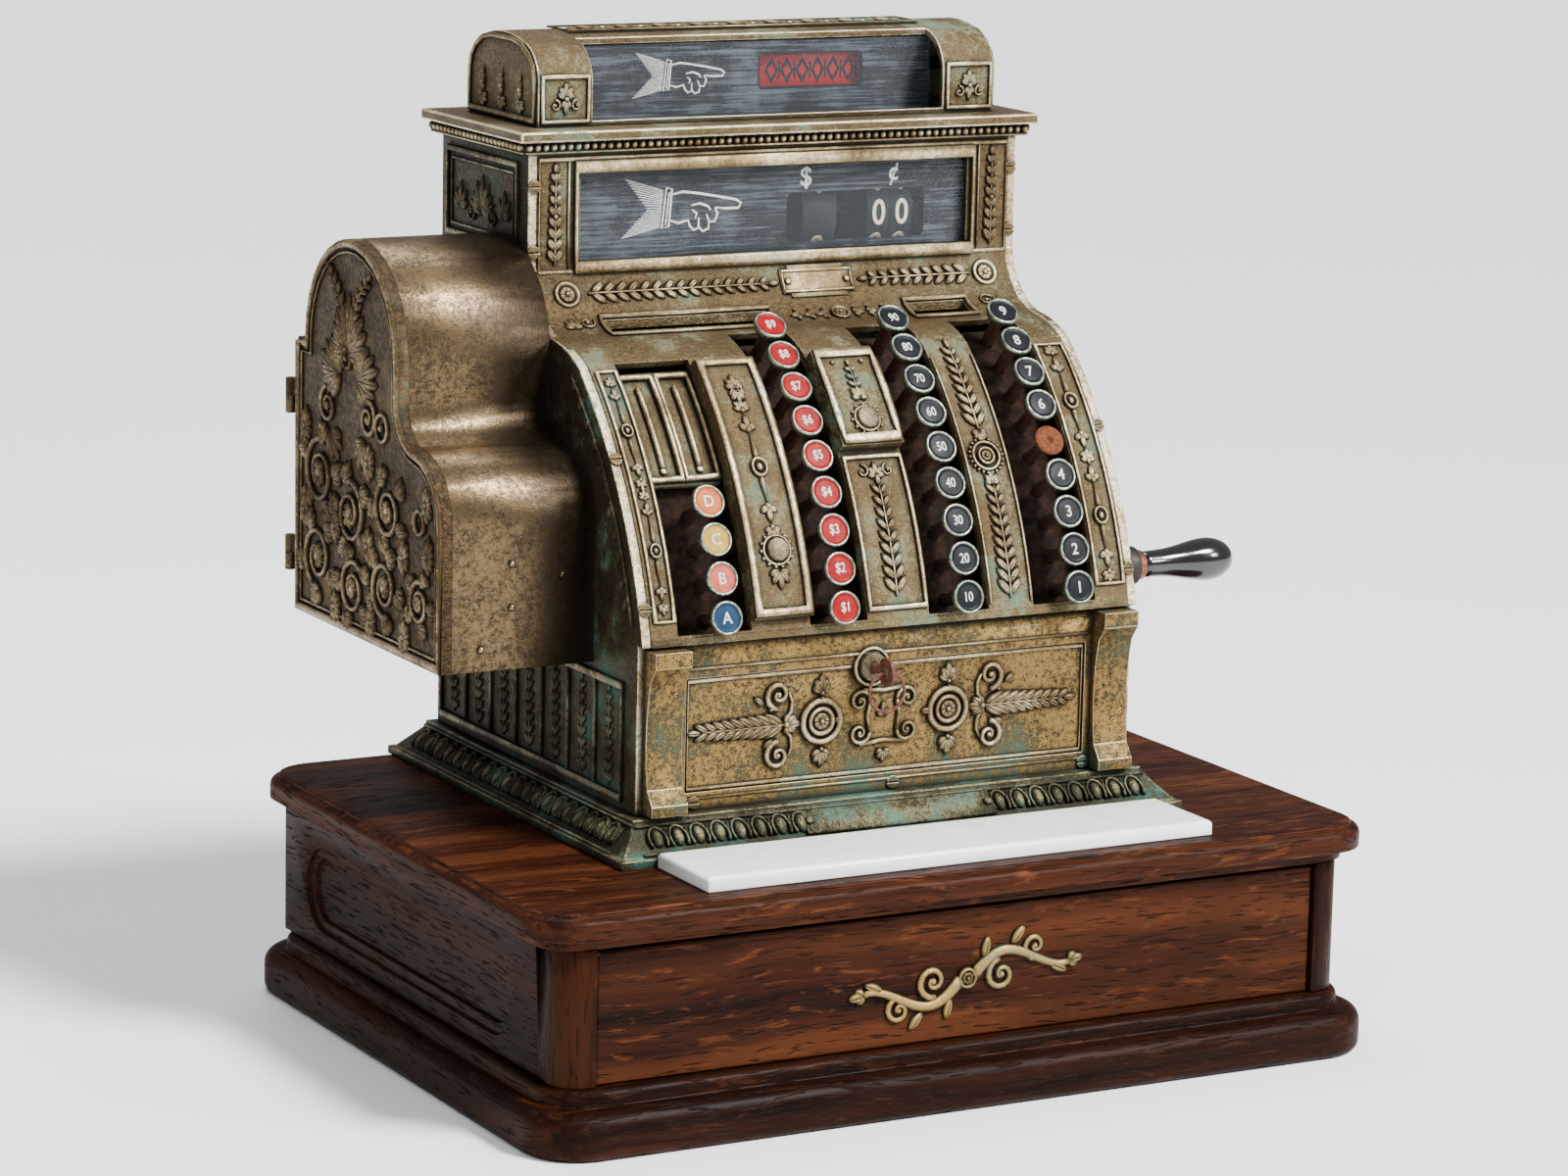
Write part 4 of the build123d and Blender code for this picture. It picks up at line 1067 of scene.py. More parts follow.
def longDrop(relief, u, low, high, wide):
    # spear, boss and petals hung in line, as on the narrow strips
    middle = (low + high) / 2
    for hand in (-1, 1):
        aim = 0.0 if hand > 0 else math.pi
        relief.put("spear", u, middle + hand * 4.0, aim, wide * 0.36, (high - low) * 0.27, 1.7)
        tip = middle + hand * (high - low) * 0.31
        relief.put("bead", u, tip, 0.0, wide * 0.34, wide * 0.34, 1.7)
        relief.fan(u, tip, math.pi / 2 * hand, 3, 2.0, wide * 0.8, wide * 0.32, 1.5)
        relief.put("bead", u, tip + hand * wide * 0.95, 0.0, wide * 0.26, wide * 0.26, 1.5)
        relief.fan(u, tip + hand * wide * 1.0, math.pi / 2 * hand, 5, 2.6, wide * 0.7, wide * 0.26, 1.4)
    relief.put("ring", u, middle, 0.0, wide * 0.82, wide * 0.98, 1.9)
    relief.put("bead", u, middle, 0.0, wide * 0.36, wide * 0.46, 2.1)


def longLaurel(relief, u, low, high, leaf, wide):
    pairs = max(4, int((high - low) / 6.2))
    relief.sprig((u, low), (u, high), pairs, leaf, wide, high=2.0, opening=0.7)


def buildKeyboardOrnament():
    low = Relief(Curved(arcCentre, arcRadius), 1.7)
    for inner, outer in ((-147.2, -135.4), (130.6, 148.4)):
        bottom, top = arcAt(266, 15.2), arcAt(266, 46.8)
        low.box(inner, outer, bottom, top, 1.6, 1.2, steps=12)
        wide = 8.8 if outer < 0 else 11.5
        third = (top - bottom) / 2
        longDrop(low, (inner + outer) / 2, bottom + 5, bottom + third - 1, wide)
        longDrop(low, (inner + outer) / 2, bottom + third + 1, top - 5, wide)
        low.put("bead", (inner + outer) / 2, bottom + third, 0.0, 3.0, 3.0, 1.6)
    low.box(-15.4, 20.0, arcAt(266, 14.6), arcAt(266, 33.0), 2.0, 1.6, steps=8)
    longLaurel(low, 2.3, arcAt(266, 16.0), arcAt(266, 29.3), 11.5, 4.3)
    low.fan(2.3, arcAt(266, 30.6), math.pi / 2, 5, 3.0, 9.0, 3.6, 1.8)
    for side in (-1, 1):
        low.scroll(2.3 + side * 8.0, arcAt(266, 31.2), 4.0, math.pi / 2, 1.1, 1.3, side, 1.4)
    for start, end in ((14.6, 28.2), (35.6, 47.0)):
        longLaurel(low, 74.3, arcAt(266, start), arcAt(266, end), 12.0, 4.3)
    low.fan(74.3, arcAt(266, 28.6), math.pi / 2, 5, 2.8, 8.0, 3.6, 1.8)
    low.fan(74.3, arcAt(266, 35.2), -math.pi / 2, 5, 2.8, 8.0, 3.6, 1.8)
    middle = arcAt(266, 32.0)
    for u, v in circle(74.3, middle, 10.2, 22):
        low.put("bead", u, v, 0.0, 2.2, 2.2, 1.7)
    low.strand(circle(74.3, middle, 8.2), 1.8, 2.0, closed=True)
    low.rosette(74.3, middle, 5.6, 8, 2.0)
    for edge in (61.2, 87.4):
        low.strand([(edge, arcAt(266, angle)) for angle in range(14, 48, 2)], 1.5, 1.2)
    low.build("keyboard_leafwork", brassOrnament, "cabinet")
    covers = Relief(Curved(arcCentre, 259.0), 1.7)
    for inner, outer in ((-132.4, -112.8), (-110.2, -90.6)):
        covers.box(inner, outer, arcAt(259, 32.4), arcAt(259, 46.6), 2.4, 3.0, steps=10)
        covers.strand([((inner + outer) / 2, arcAt(259, angle)) for angle in range(34, 46)], 3.4, 2.6)
    covers.put("screw", -122.6, arcAt(259, 33.6), 0.0, 4.2, 4.2, 1.6)
    covers.put("screw", -100.4, arcAt(259, 33.6), 0.0, 4.2, 4.2, 1.6)
    covers.build("slot_cover_ribs", brassOrnament, "cabinet")
    strip = Relief(Curved(arcCentre, 271.0), 1.7)
    strip.box(-86.6, -55.4, arcAt(271, 15.2), arcAt(271, 46.4), 3.8, 1.6, steps=14)
    strip.fan(-71.0, arcAt(271, 42.6), math.pi / 2, 5, 2.4, 10.0, 4.0, 1.9)
    strip.fan(-71.0, arcAt(271, 42.2), -math.pi / 2, 5, 2.4, 9.0, 3.8, 1.9)
    strip.rosette(-71.0, arcAt(271, 42.4), 3.6, 6, 2.0)
    longDrop(strip, -71.0, arcAt(271, 24.6), arcAt(271, 40.0), 12.5)
    strip.strand(circle(-71.0, arcAt(271, 22.3), 8.0), 1.8, 1.8, closed=True)
    for u, v in circle(-71.0, arcAt(271, 22.3), 9.4, 14):
        strip.put("bead", u, v, 0.0, 2.4, 2.4, 1.5)
    strip.fan(-71.0, arcAt(271, 19.9), -math.pi / 2, 5, 2.6, 11.0, 4.2, 1.9)
    strip.build("tall_strip_ornament", brassOrnament, "cabinet")
    block = Relief(Curved(arcCentre, 273.0), 1.7)
    block.box(-14.8, 19.4, arcAt(273, 34.8), arcAt(273, 46.4), 3.8, 1.6, steps=6)
    block.strand(circle(2.3, arcAt(273, 37.2), 7.4), 1.8, 1.8, closed=True)
    for u, v in circle(2.3, arcAt(273, 37.2), 8.9, 12):
        block.put("bead", u, v, 0.0, 2.2, 2.2, 1.4)
    block.fan(2.3, arcAt(273, 40.0), math.pi / 2, 5, 2.8, 8.5, 3.6, 1.8)
    block.sprig((2.3, arcAt(273, 40.2)), (2.3, arcAt(273, 44.4)), 4, 6.4, 3.0, high=1.8, opening=0.9)
    for side in (-1, 1):
        block.put("bead", 2.3 + side * 9.0, arcAt(273, 45.0), 0.0, 2.6, 2.6, 1.6)
    block.build("centre_block_ornament", brassOrnament, "cabinet")


buildKeyboardOrnament()
print("keyboard ornament done")

# lower panel: laurel branches, scrolls, two medallions and a scroll cartouche
lowerFace = Flat((0, -85, 0), (1, 0, 0), (0, 0, 1))


def buildLowerOrnament():
    relief = Relief(lowerFace, 2.4)
    for side in (-1, 1):
        heart = side * 40.0 - 2.0
        relief.rosette(heart, 195.5, 8.6, 8, 2.2)
        relief.strand(circle(heart, 195.5, 11.6), 3.4, 2.6, closed=True)
        relief.fan(heart, 212.0, math.pi / 2, 5, 2.2, 10.5, 4.6)
        relief.put("bead", heart, 211.5, 0.0, 3.0, 3.0)
        relief.put("bead", heart, 208.6, 0.0, 2.0, 2.0)
        relief.fan(heart, 179.0, -math.pi / 2, 5, 2.2, 10.5, 4.6)
        relief.put("bead", heart, 180.0, 0.0, 3.0, 3.0)
        root = side * 62.0 - 2.0
        relief.sprig((root, 195.5), (side * 114.0 - 2.0, 195.5), 9, 15.0, 5.2, high=2.4, opening=0.5)
        relief.fan(root, 195.5, 0.0 if side < 0 else math.pi, 5, 2.6, 10.0, 5.0)
        relief.put("bead", root, 195.5, 0.0, 4.4, 4.4, 2.6)
        for up in (-1, 1):
            swirl = side * 67.0 - 2.0
            relief.scroll(swirl, 195.5 + up * 17.0, 8.2, -up * math.pi / 2, 1.4, 3.2, side * up, 2.4)
            relief.strand([
                (root + side * 1.0, 195.5 + up * 2.0), (root - side * 3.0, 195.5 + up * 7.0),
                (root - side * 3.5, 195.5 + up * 13.0), (root - side * 1.0, 195.5 + up * 18.0),
            ], (2.2, 1.6), 1.9)
            relief.put("leaf", root + side * 14.0, 195.5 + up * 12.0, 0.9 * side * -up, 3.4, 8.0)
            relief.put("bead", root + side * 10.0, 195.5 + up * 9.0, 0.0, 2.4, 2.4)
    middle = -3.0
    for side in (-1, 1):
        relief.scroll(middle + side * 15.0, 204.5, 6.6, math.pi if side > 0 else 0.0, 1.4, 2.3, -side, 2.2)
        relief.scroll(middle + side * 15.0, 186.5, 6.6, math.pi if side > 0 else 0.0, 1.4, 2.3, side, 2.2)
        relief.strand(
            [(middle + side * 8.4, 204.0), (middle + side * 10.0, 195.5), (middle + side * 8.4, 187.0)], 2.4,
            2.0
        )
        relief.put("leaf", middle + side * 24.0, 195.5, -side * math.pi / 2, 4.0, 8.0)
    relief.strand([(middle - 13.0, 211.0), (middle, 209.6), (middle + 13.0, 211.0)], 2.4, 2.0)
    relief.strand([(middle - 15.0, 180.0), (middle, 181.6), (middle + 15.0, 180.0)], 2.4, 2.0)
    relief.fan(middle, 176.0, -math.pi / 2, 5, 2.4, 8.0, 3.4)
    relief.fan(middle, 195.0, math.pi / 2, 3, 1.6, 9.0, 4.0)
    relief.box(-124.6, 124.6, 164.6, 224.4, 1.4, 1.2)
    relief.build("lock_panel_scrolls", brassOrnament, "cabinet")
    plate = Relief(Flat((0, -87, 0), (1, 0, 0), (0, 0, 1)), 1.2)
    plate.strand(circle(-12.0, 224.0, 10.2), 2.2, 1.8, closed=True)
    plate.strand([(-128.6, 159.8), (128.6, 159.8)], 1.6, 1.0)
    plate.strand([(-129.0, 231.5), (129.0, 231.5)], 1.6, 1.0)
    plate.build("lock_panel_beads", brassOrnament, "cabinet")


buildLowerOrnament()

# base moulding: egg and dart round the foot of the cabinet
baseMoulding = {"pitch": 12.6, "egg": 7.2, "plateLow": -62.0, "plateHigh": 58.0}


def eggAndDart(ground, low, high, name, skip=None):
    relief = Relief(ground, 2.4)
    count = max(2, round((high - low) / baseMoulding["pitch"]))
    step = (high - low) / count
    for index in range(count):
        u = low + step * (index + 0.5)
        if skip and skip[0] < u < skip[1]:
            continue
        egg = baseMoulding["egg"]
        relief.put("bead", u, 0.4, 0.0, egg, egg * 1.7, 3.0)
        arch = [(u + 5.3 * math.cos(turn), -1.0 + 8.2 * math.sin(turn)) for turn in
                [math.pi * (1.18 - 1.36 * part / 9) for part in range(10)]]
        relief.strand(arch, 1.7, 2.6)
        relief.put("spear", u + step / 2, 6.6, math.pi, 2.6, 12.5, 2.2)
    relief.strand([(low - 4.0, 9.3), (high + 4.0, 9.3)], 1.9, 1.5)
    relief.strand([(low - 5.0, -9.6), (high + 5.0, -9.6)], 1.9, 1.5)
    if skip:
        relief.slab(skip[0], skip[1], -8.4, 8.2, 2.6, stepsU=2, stepsV=2, rim=0.85)
        for u in (skip[0] + 3.6, skip[1] - 3.6):
            relief.put("screw", u, 0.0, 0.0, 4.8, 4.8, 1.4, lift=2.6)
    return relief.build(name, brassCasting, "cabinet")


eggAndDart(Flat((0, -102.75, 143), (1, 0, 0), (0, 16.5, 14)), -157.0, 157.0, "egg_and_dart_front",
           (baseMoulding["plateLow"], baseMoulding["plateHigh"]))
eggAndDart(Flat((-167.75, 38, 143), (0, -1, 0), (13.5, 0, 14)), -128.0, 128.0, "egg_and_dart_left")
eggAndDart(Flat((167.75, 38, 143), (0, 1, 0), (-13.5, 0, 14)), -128.0, 128.0, "egg_and_dart_right")
eggAndDart(Flat((0, 178.25, 143), (-1, 0, 0), (0, -13.5, 14)), -150.0, 150.0, "egg_and_dart_rear")
print("base moulding done")

# cornice beads and the sign case
corniceLook = {"pitch": 4.9, "bead": 4.1}


def buildCornice():
    for name, ground, reach in (
        ("cornice_beads_front", Flat((0, 50, 499.2), (1, 0, 0), (0, 0, 1)), 158.0),
        ("cornice_beads_left", Flat((-160, 110, 499.2), (0, -1, 0), (0, 0, 1)), 58.0),
        ("cornice_beads_right", Flat((160, 110, 499.2), (0, 1, 0), (0, 0, 1)), 58.0),
        ("cornice_beads_rear", Flat((0, 170, 499.2), (-1, 0, 0), (0, 0, 1)), 158.0),
    ):
        relief = Relief(ground, 2.6)
        count = int(2 * reach / corniceLook["pitch"])
        for index in range(count + 1):
            u = -reach + index * 2 * reach / count
            relief.put("bead", u, 0.0, 0.0, corniceLook["bead"], 5.2, 2.8)
        relief.strand([(-reach - 2.0, -3.2), (reach + 2.0, -3.2)], 1.5, 1.3)
        relief.build(name, brassOrnament, "cabinet")


def signOutline(inset, steps=10):
    # end outline of the sign case in (u, z), u away from its middle line
    foot = 45.0 - inset
    points = [(-foot, 508.0 + inset), (-foot, 534.0)]
    for index in range(1, steps):
        turn = math.pi - math.pi * index / steps
        points.append((foot * math.cos(turn), 534.0 + (23.5 - inset) * min(1.0, math.sin(turn) * 1.12)))
    points += [(foot, 534.0), (foot, 508.0 + inset)]
    return points


def buildSignOrnament():
    for side in (-1, 1):
        ground = Flat((side * 145.5, 109, 0), (0, side, 0), (0, 0, 1))
        relief = Relief(ground, 1.8)
        relief.strand(signOutline(3.2), 2.6, 1.8, closed=True)
        for u in (-24.0, 0.0, 24.0):
            relief.put("spear", u, 522.0, 0.0, 3.4, 16.0, 1.8)
            relief.fan(u, 519.5, -math.pi / 2, 5, 3.4, 7.5, 3.4)
            relief.put("bead", u, 527.0, 0.0, 3.6, 3.6, 2.2)
            relief.put("bead", u, 533.0, 0.0, 2.4, 2.4, 1.8)
        relief.build("sign_end_left" if side < 0 else "sign_end_right", brassOrnament, "cabinet")
    for y, right, name in ((64.0, 1, "sign_front_palmettes"), (154.0, -1, "sign_rear_palmettes")):
        relief = Relief(Flat((0, y, 0), (right, 0, 0), (0, 0, 1)), 1.7)
        for side in (-1, 1):
            u = side * 129.0
            relief.box(u - 14.2, u + 14.2, 511.0, 536.0, 1.8, 1.3)
            relief.fan(u, 524.0, math.pi / 2, 5, 2.2, 9.5, 3.6)
            relief.fan(u, 523.0, -math.pi / 2, 3, 1.2, 9.0, 3.2)
            relief.put("bead", u, 523.6, 0.0, 3.4, 3.4, 2.2)
            for hand in (-1, 1):
                relief.scroll(u + hand * 6.6, 520.0, 3.4, math.pi / 2, 1.1, 1.2, hand, 1.5)
        relief.build(name, brassOrnament, "cabinet")
    roof = Relief(Flat((0, 109, 557.3), (1, 0, 0), (0, 1, 0)), 1.2)
    roof.box(-112.0, 112.0, -13.0, 13.0, 1.6, 1.0)
    for index in range(9):
        u = -96.0 + index * 24.0
        roof.put("ring", u, 0.0, 0.0, 9.0, 9.0, 1.2)
        for hand in (-1, 1):
            roof.put("leaf", u + hand * 4.4, 0.0, -hand * math.pi / 2, 4.4, 7.4, 1.2)
    roof.build("sign_roof_ornament", brassOrnament, "cabinet")


buildCornice()
buildSignOrnament()
print("cornice and sign case done")

# cabinet sides: ribbed field low down, palmette panel high up, banded edges
sideLook = {"ribs": 7, "ribLow": 160.0, "ribHigh": 222.0}


def buildSides():
    for side in (-1, 1):
        ground = Flat((side * 156, 0, 0), (0, side, 0), (0, 0, 1))
        relief = Relief(ground, 1.5)
        place = (lambda y: y) if side > 0 else (lambda y: -y)
        edges = sorted((place(-72.0), place(158.0)))
        relief.box(edges[0], edges[1], sideLook["ribLow"], sideLook["ribHigh"], 2.6, 1.9)
        for index in range(1, sideLook["ribs"]):
            y = -72.0 + 230.0 * index / sideLook["ribs"]
            relief.strand([(place(y), sideLook["ribLow"]), (place(y), sideLook["ribHigh"])], 2.2, 1.8)
        for index in range(sideLook["ribs"]):
            y = -72.0 + 230.0 * (index + 0.5) / sideLook["ribs"]
            relief.sprig((place(y), 164.0), (place(y), 216.0), 8, 8.0, 3.8, high=1.2, opening=0.8)
        edges = sorted((place(66.0), place(156.0)))
        relief.box(edges[0], edges[1], 441.0, 488.0, 2.2, 1.7)
        relief.box(edges[0] + 5.0, edges[1] - 5.0, 446.0, 483.0, 1.0, 1.0)
        middle = place(111.0)
        relief.fan(middle, 456.0, math.pi / 2, 7, 2.6, 22.0, 6.0, 1.8)
        for hand in (-1, 1):
            relief.scroll(middle + hand * 14.0, 455.0, 6.4, math.pi / 2, 1.3, 1.8, hand, 1.5)
            relief.fan(middle + hand * 28.0, 456.0, math.pi / 2, 5, 2.4, 16.0, 4.6, 1.6)
        # band that follows the curved front edge, with leaves inside it
        bandArc, leafArc = 258.0, 250.0
        edge = []
        for angle in range(15, 49, 3):
            turn = math.radians(angle)
            bandPlace = place(arcCentre[0] - bandArc * math.cos(turn))
            edge.append((bandPlace, arcCentre[1] + bandArc * math.sin(turn)))
        relief.strand(edge, 2.0, 1.5)
        for angle in range(17, 48, 3):
            turn = math.radians(angle)
            leafPlace = place(arcCentre[0] - leafArc * math.cos(turn))
            leafHigh = arcCentre[1] + leafArc * math.sin(turn)
            relief.put("leaf", leafPlace, leafHigh, turn * side, 4.0, 11.0, 1.3)
        if side > 0:
            y, z = 100.0, 300.0
            relief.strand(circle(y, z, 34.0), 2.4, 1.8, closed=True)
            relief.rosette(y, z, 20.0, 12, 2.2)
            for turn in range(8):
                aim = turn * math.pi / 4
                relief.fan(y + 36.0 * math.cos(aim), z + 36.0 * math.sin(aim), aim, 3, 1.4, 14.0, 5.0, 1.6)
            relief.box(10.0, 158.0, 234.0, 384.0, 2.4, 1.7)
            relief.strand(circle(45.0, 285.0, 20.0), 3.0, 2.0, closed=True)
        # the side ornament takes the darker flank brass, painted shade
        relief.build("left_side_ornament" if side < 0 else "right_side_ornament", brassSide, "cabinet")


def buildRear():
    # framed field with laurels about a medallion
    relief = Relief(Flat((0, 166, 0), (-1, 0, 0), (0, 0, 1)), 1.6)
    relief.box(-146.0, 146.0, 162.0, 424.0, 3.2, 1.8)
    relief.box(-136.0, 136.0, 172.0, 414.0, 1.6, 1.2)
    middle = 292.0
    relief.strand(circle(0.0, middle, 34.0), 3.0, 2.0, closed=True)
    relief.strand(circle(0.0, middle, 28.0), 1.6, 1.4, closed=True)
    relief.rosette(0.0, middle, 18.0, 12, 2.2)
    for side in (-1, 1):
        relief.sprig((side * 40.0, middle), (side * 118.0, middle), 11, 15.0, 6.0, high=2.0)
        for up in (-1, 1):
            relief.sprig(
                (side * 8.0, middle + up * 40.0), (side * 60.0, middle + up * 84.0), 9, 14.0, 6.0,
                side * up * 9.0
            )
            relief.scroll(side * 78.0, middle + up * 62.0, 13.0, -up * math.pi / 2, 1.5, 3.0, side * up, 2.0)
            relief.fan(side * 122.0, middle + up * 106.0, math.atan2(-up, -side), 7, 1.9, 26.0, 7.0, 2.0)
            relief.put("bead", side * 122.0, middle + up * 106.0, 0.0, 7.0, 7.0, 2.4)
    relief.build("rear_ornament", brassPanel, "cabinet")


buildSides()
buildRear()
print("cabinet sides and rear done")

# printer lid: rim, shells, acanthus leaves and scrolls
lidFace = Flat((-246.9, 0, 0), (0, -1, 0), (0, 0, 1))


def lidOutline(inset):
    # outline of the lid in (u, v), where u is towards the front
    dome, lobe, turn = 62.0 - inset, 38.3 - inset, 22.0 + inset
    points = [(-(160.0 - inset), 228.0 + inset), (34.5 - inset, 228.0 + inset), (34.5 - inset, 306.0)]
    points += [
        (-3.8 + lobe * math.cos(math.radians(a)), 306.0 + lobe * math.sin(math.radians(a)))
        for a in (18, 36, 54, 72, 90)
    ]
    points += [
        (-1.0 - turn * math.sin(math.radians(a)), 366.3 - turn * math.cos(math.radians(a)))
        for a in (15, 35, 55, 75, 90)
    ]
    points += [
        (-85.0 + dome * math.cos(math.radians(a)), 386.0 + dome * math.sin(math.radians(a)))
        for a in range(0, 181, 12)
    ]
    points += [(-85.0 - dome, 384.0 - inset), (-(160.0 - inset), 384.0 - inset)]
    return points


def buildLid():
    relief = Relief(lidFace, 2.2)
    relief.strand(lidOutline(2.4), 4.2, 2.0, closed=True)
    relief.strand(lidOutline(7.0), 1.4, 1.2, closed=True)
    # palmette with shells in the dome
    for radius, count, width in ((36.0, 11, 9.0), (23.0, 9, 7.0)):
        relief.fan(-88.0, 384.0, math.pi / 2, count, 3.3, radius, width, 2.4)
    relief.put("ring", -88.0, 382.0, 0.0, 13.0, 13.0, 2.6)
    relief.put("bead", -88.0, 382.0, 0.0, 5.0, 5.0, 3.2)
    for side in (-1, 1):
        relief.fan(-88.0 + side * 12.0, 372.0, math.pi / 2 - side * 1.25, 9, 2.6, 30.0, 8.0, 2.4)
        relief.scroll(-88.0 + side * 27.0, 352.0, 11.0, math.pi / 2, 1.6, 3.0, -side, 2.2)
        relief.fan(-88.0 + side * 22.0, 338.0, -math.pi / 2 - side * 0.5, 5, 1.9, 20.0, 6.0, 2.2)
        relief.sprig((-88.0 + side * 6.0, 402.0), (-88.0 + side * 26.0, 428.0), 5, 10.0, 4.4, bend=side * 3.0)
    relief.strand(circle(-43.0, 350.0, 7.5), 2.2, 2.0, closed=True)
    relief.put("bead", -43.0, 350.0, 0.0, 5.0, 5.0, 2.4)
    # big scrolls that fill the lower field
    for u, v, radius, start, hand in (
        (-126.0, 312.0, 20.0, 1.2, 1), (-128.0, 264.0, 19.0, -1.5, -1), (-84.0, 296.0, 19.0, 2.0, -1),
        (-80.0, 254.0, 17.0, 0.4, 1), (-38.0, 262.0, 17.0, -1.2, -1), (-34.0, 306.0, 17.0, 1.8, 1),
        (8.0, 262.0, 13.0, 1.0, 1),
    ):
        relief.scroll(u, v, radius, start, 1.9, 3.2, hand, 2.3)
        for turn in range(5):
            aim = start + turn * 1.26
            relief.fan(u + radius * 0.98 * math.cos(aim), v + radius * 0.98 * math.sin(aim), aim + hand * 0.9,
                       5, 1.7, radius * 0.78, 6.0, 2.4)
        relief.fan(u, v, start + 2.0, 7, 4.0, radius * 0.62, 5.0, 2.4)
    for u, v in ((-104.0, 286.0), (-60.0, 282.0), (-14.0, 284.0), (-104.0, 240.0), (-56.0, 240.0),
                 (-12.0, 240.0), (18.0, 290.0), (-146.0, 288.0), (-146.0, 336.0), (16.0, 318.0), (-60.0, 328.0)):
        relief.put("bead", u, v, 0.0, 4.6, 4.6, 2.4)
        relief.fan(u, v, math.pi / 2, 5, 2.2, 12.0, 5.2, 2.1)
        relief.fan(u, v, -math.pi / 2, 5, 2.2, 12.0, 5.2, 2.1)
    relief.strand(circle(7.0, 306.5, 6.4, 20), 2.2, 2.2, closed=True)
    relief.build("printer_lid_scrollwork", brassLid, "printer_door")
    shell = Relief(Flat((0, -34.5, 0), (1, 0, 0), (0, 0, 1)), 1.6)
    for u, v in ((-206.0, 286.0), (-206.0, 262.0), (-176.0, 278.0), (-224.0, 240.0)):
        shell.put("bead", u, v, 0.0, 4.2, 4.2, 1.6)
    shell.build("printer_shell_rivets", brassPrinter, "cabinet")


buildLid()
print("printer lid done")

# lettering: numerals are cut from the built-in face and laid on a plane
figures = {"raise": 0.12}


def writing(name, text, place, right, up, size, material, raised=None, squeeze=1.0):
    curve = bpy.data.curves.new(name, "FONT")
    curve.body = text
    curve.size = size
    curve.align_x = "CENTER"
    curve.align_y = "CENTER"
    curve.extrude = (raised or figures["raise"]) * mm / 2
    curve.resolution_u = 4
    curve.offset = size * 0.012
    holder = bpy.data.objects.new(name, curve)
    scene.collection.objects.link(holder)
    graph = bpy.context.evaluated_depsgraph_get()
    mesh = bpy.data.meshes.new_from_object(holder.evaluated_get(graph))
    bpy.data.objects.remove(holder)
    right = Vector(right).normalized()
    up = Vector(up).normalized()
    out = right.cross(up)
    lows = [min(v.co[axis] for v in mesh.vertices) for axis in (0, 1)]
    highs = [max(v.co[axis] for v in mesh.vertices) for axis in (0, 1)]
    shift = [(low + high) / 2 for low, high in zip(lows, highs)]
    for vertex in mesh.vertices:
        u, v, w = vertex.co
        vertex.co = Vector(place) + right * (u - shift[0]) * squeeze + up * (v - shift[1]) + out * w
    mesh.materials.clear()
    mesh.materials.append(material)
    piece = bpy.data.objects.new(name, mesh)
    scene.collection.objects.link(piece)
    return piece


# windows: panes, scraped black paint with cut-outs, pointing hands and money signs
windows = {
    "figureCut": (9.8, 99.6, 438.4, 466.4),
    "rearFigureCut": (-99.6, -9.8, 438.4, 466.4),
    "signCut": (4.5, 72.5, 522.0, 543.0),
    "pane": (-128.0, 128.0, 430.4, 487.9),
    "signPane": (-116.0, 116.0, 508.2, 550.0),
}


def paintSheet(name, outer, cut, y, thick, material):
    # sheet in x and z with a round-cornered hole
    lowX, highX, lowZ, highZ = outer
    rings = []
    steps = 6
    for low, high, bottom, top, radius in ((lowX, highX, lowZ, highZ, 0.6), (*cut, 4.0)):
        ring = []
        for cx, cz, start in ((high - radius, top - radius, 0), (low + radius, top - radius, 90),
                              (low + radius, bottom + radius, 180), (high - radius, bottom + radius, 270)):
            for step in range(steps + 1):
                turn = math.radians(start + 90 * step / steps)
                ring.append((cx + radius * math.cos(turn), cz + radius * math.sin(turn)))
        rings.append(ring)
    count = len(rings[0])
    vertices = [
        (x * mm, (y + depth) * mm, z * mm) for depth in (0.0, thick) for ring in rings for x, z in ring
    ]
    faces = []
    for index in range(count):
        after = (index + 1) % count
        faces.append((index, after, count + after, count + index))
        faces.append((2 * count + after, 2 * count + index, 3 * count + index, 3 * count + after))
        faces.append((after, index, 2 * count + index, 2 * count + after))
        faces.append((count + index, count + after, 3 * count + after, 3 * count + index))
    piece = meshObject(name, vertices, faces, [material], smooth=False)
    turnOutward(piece)
    return piece


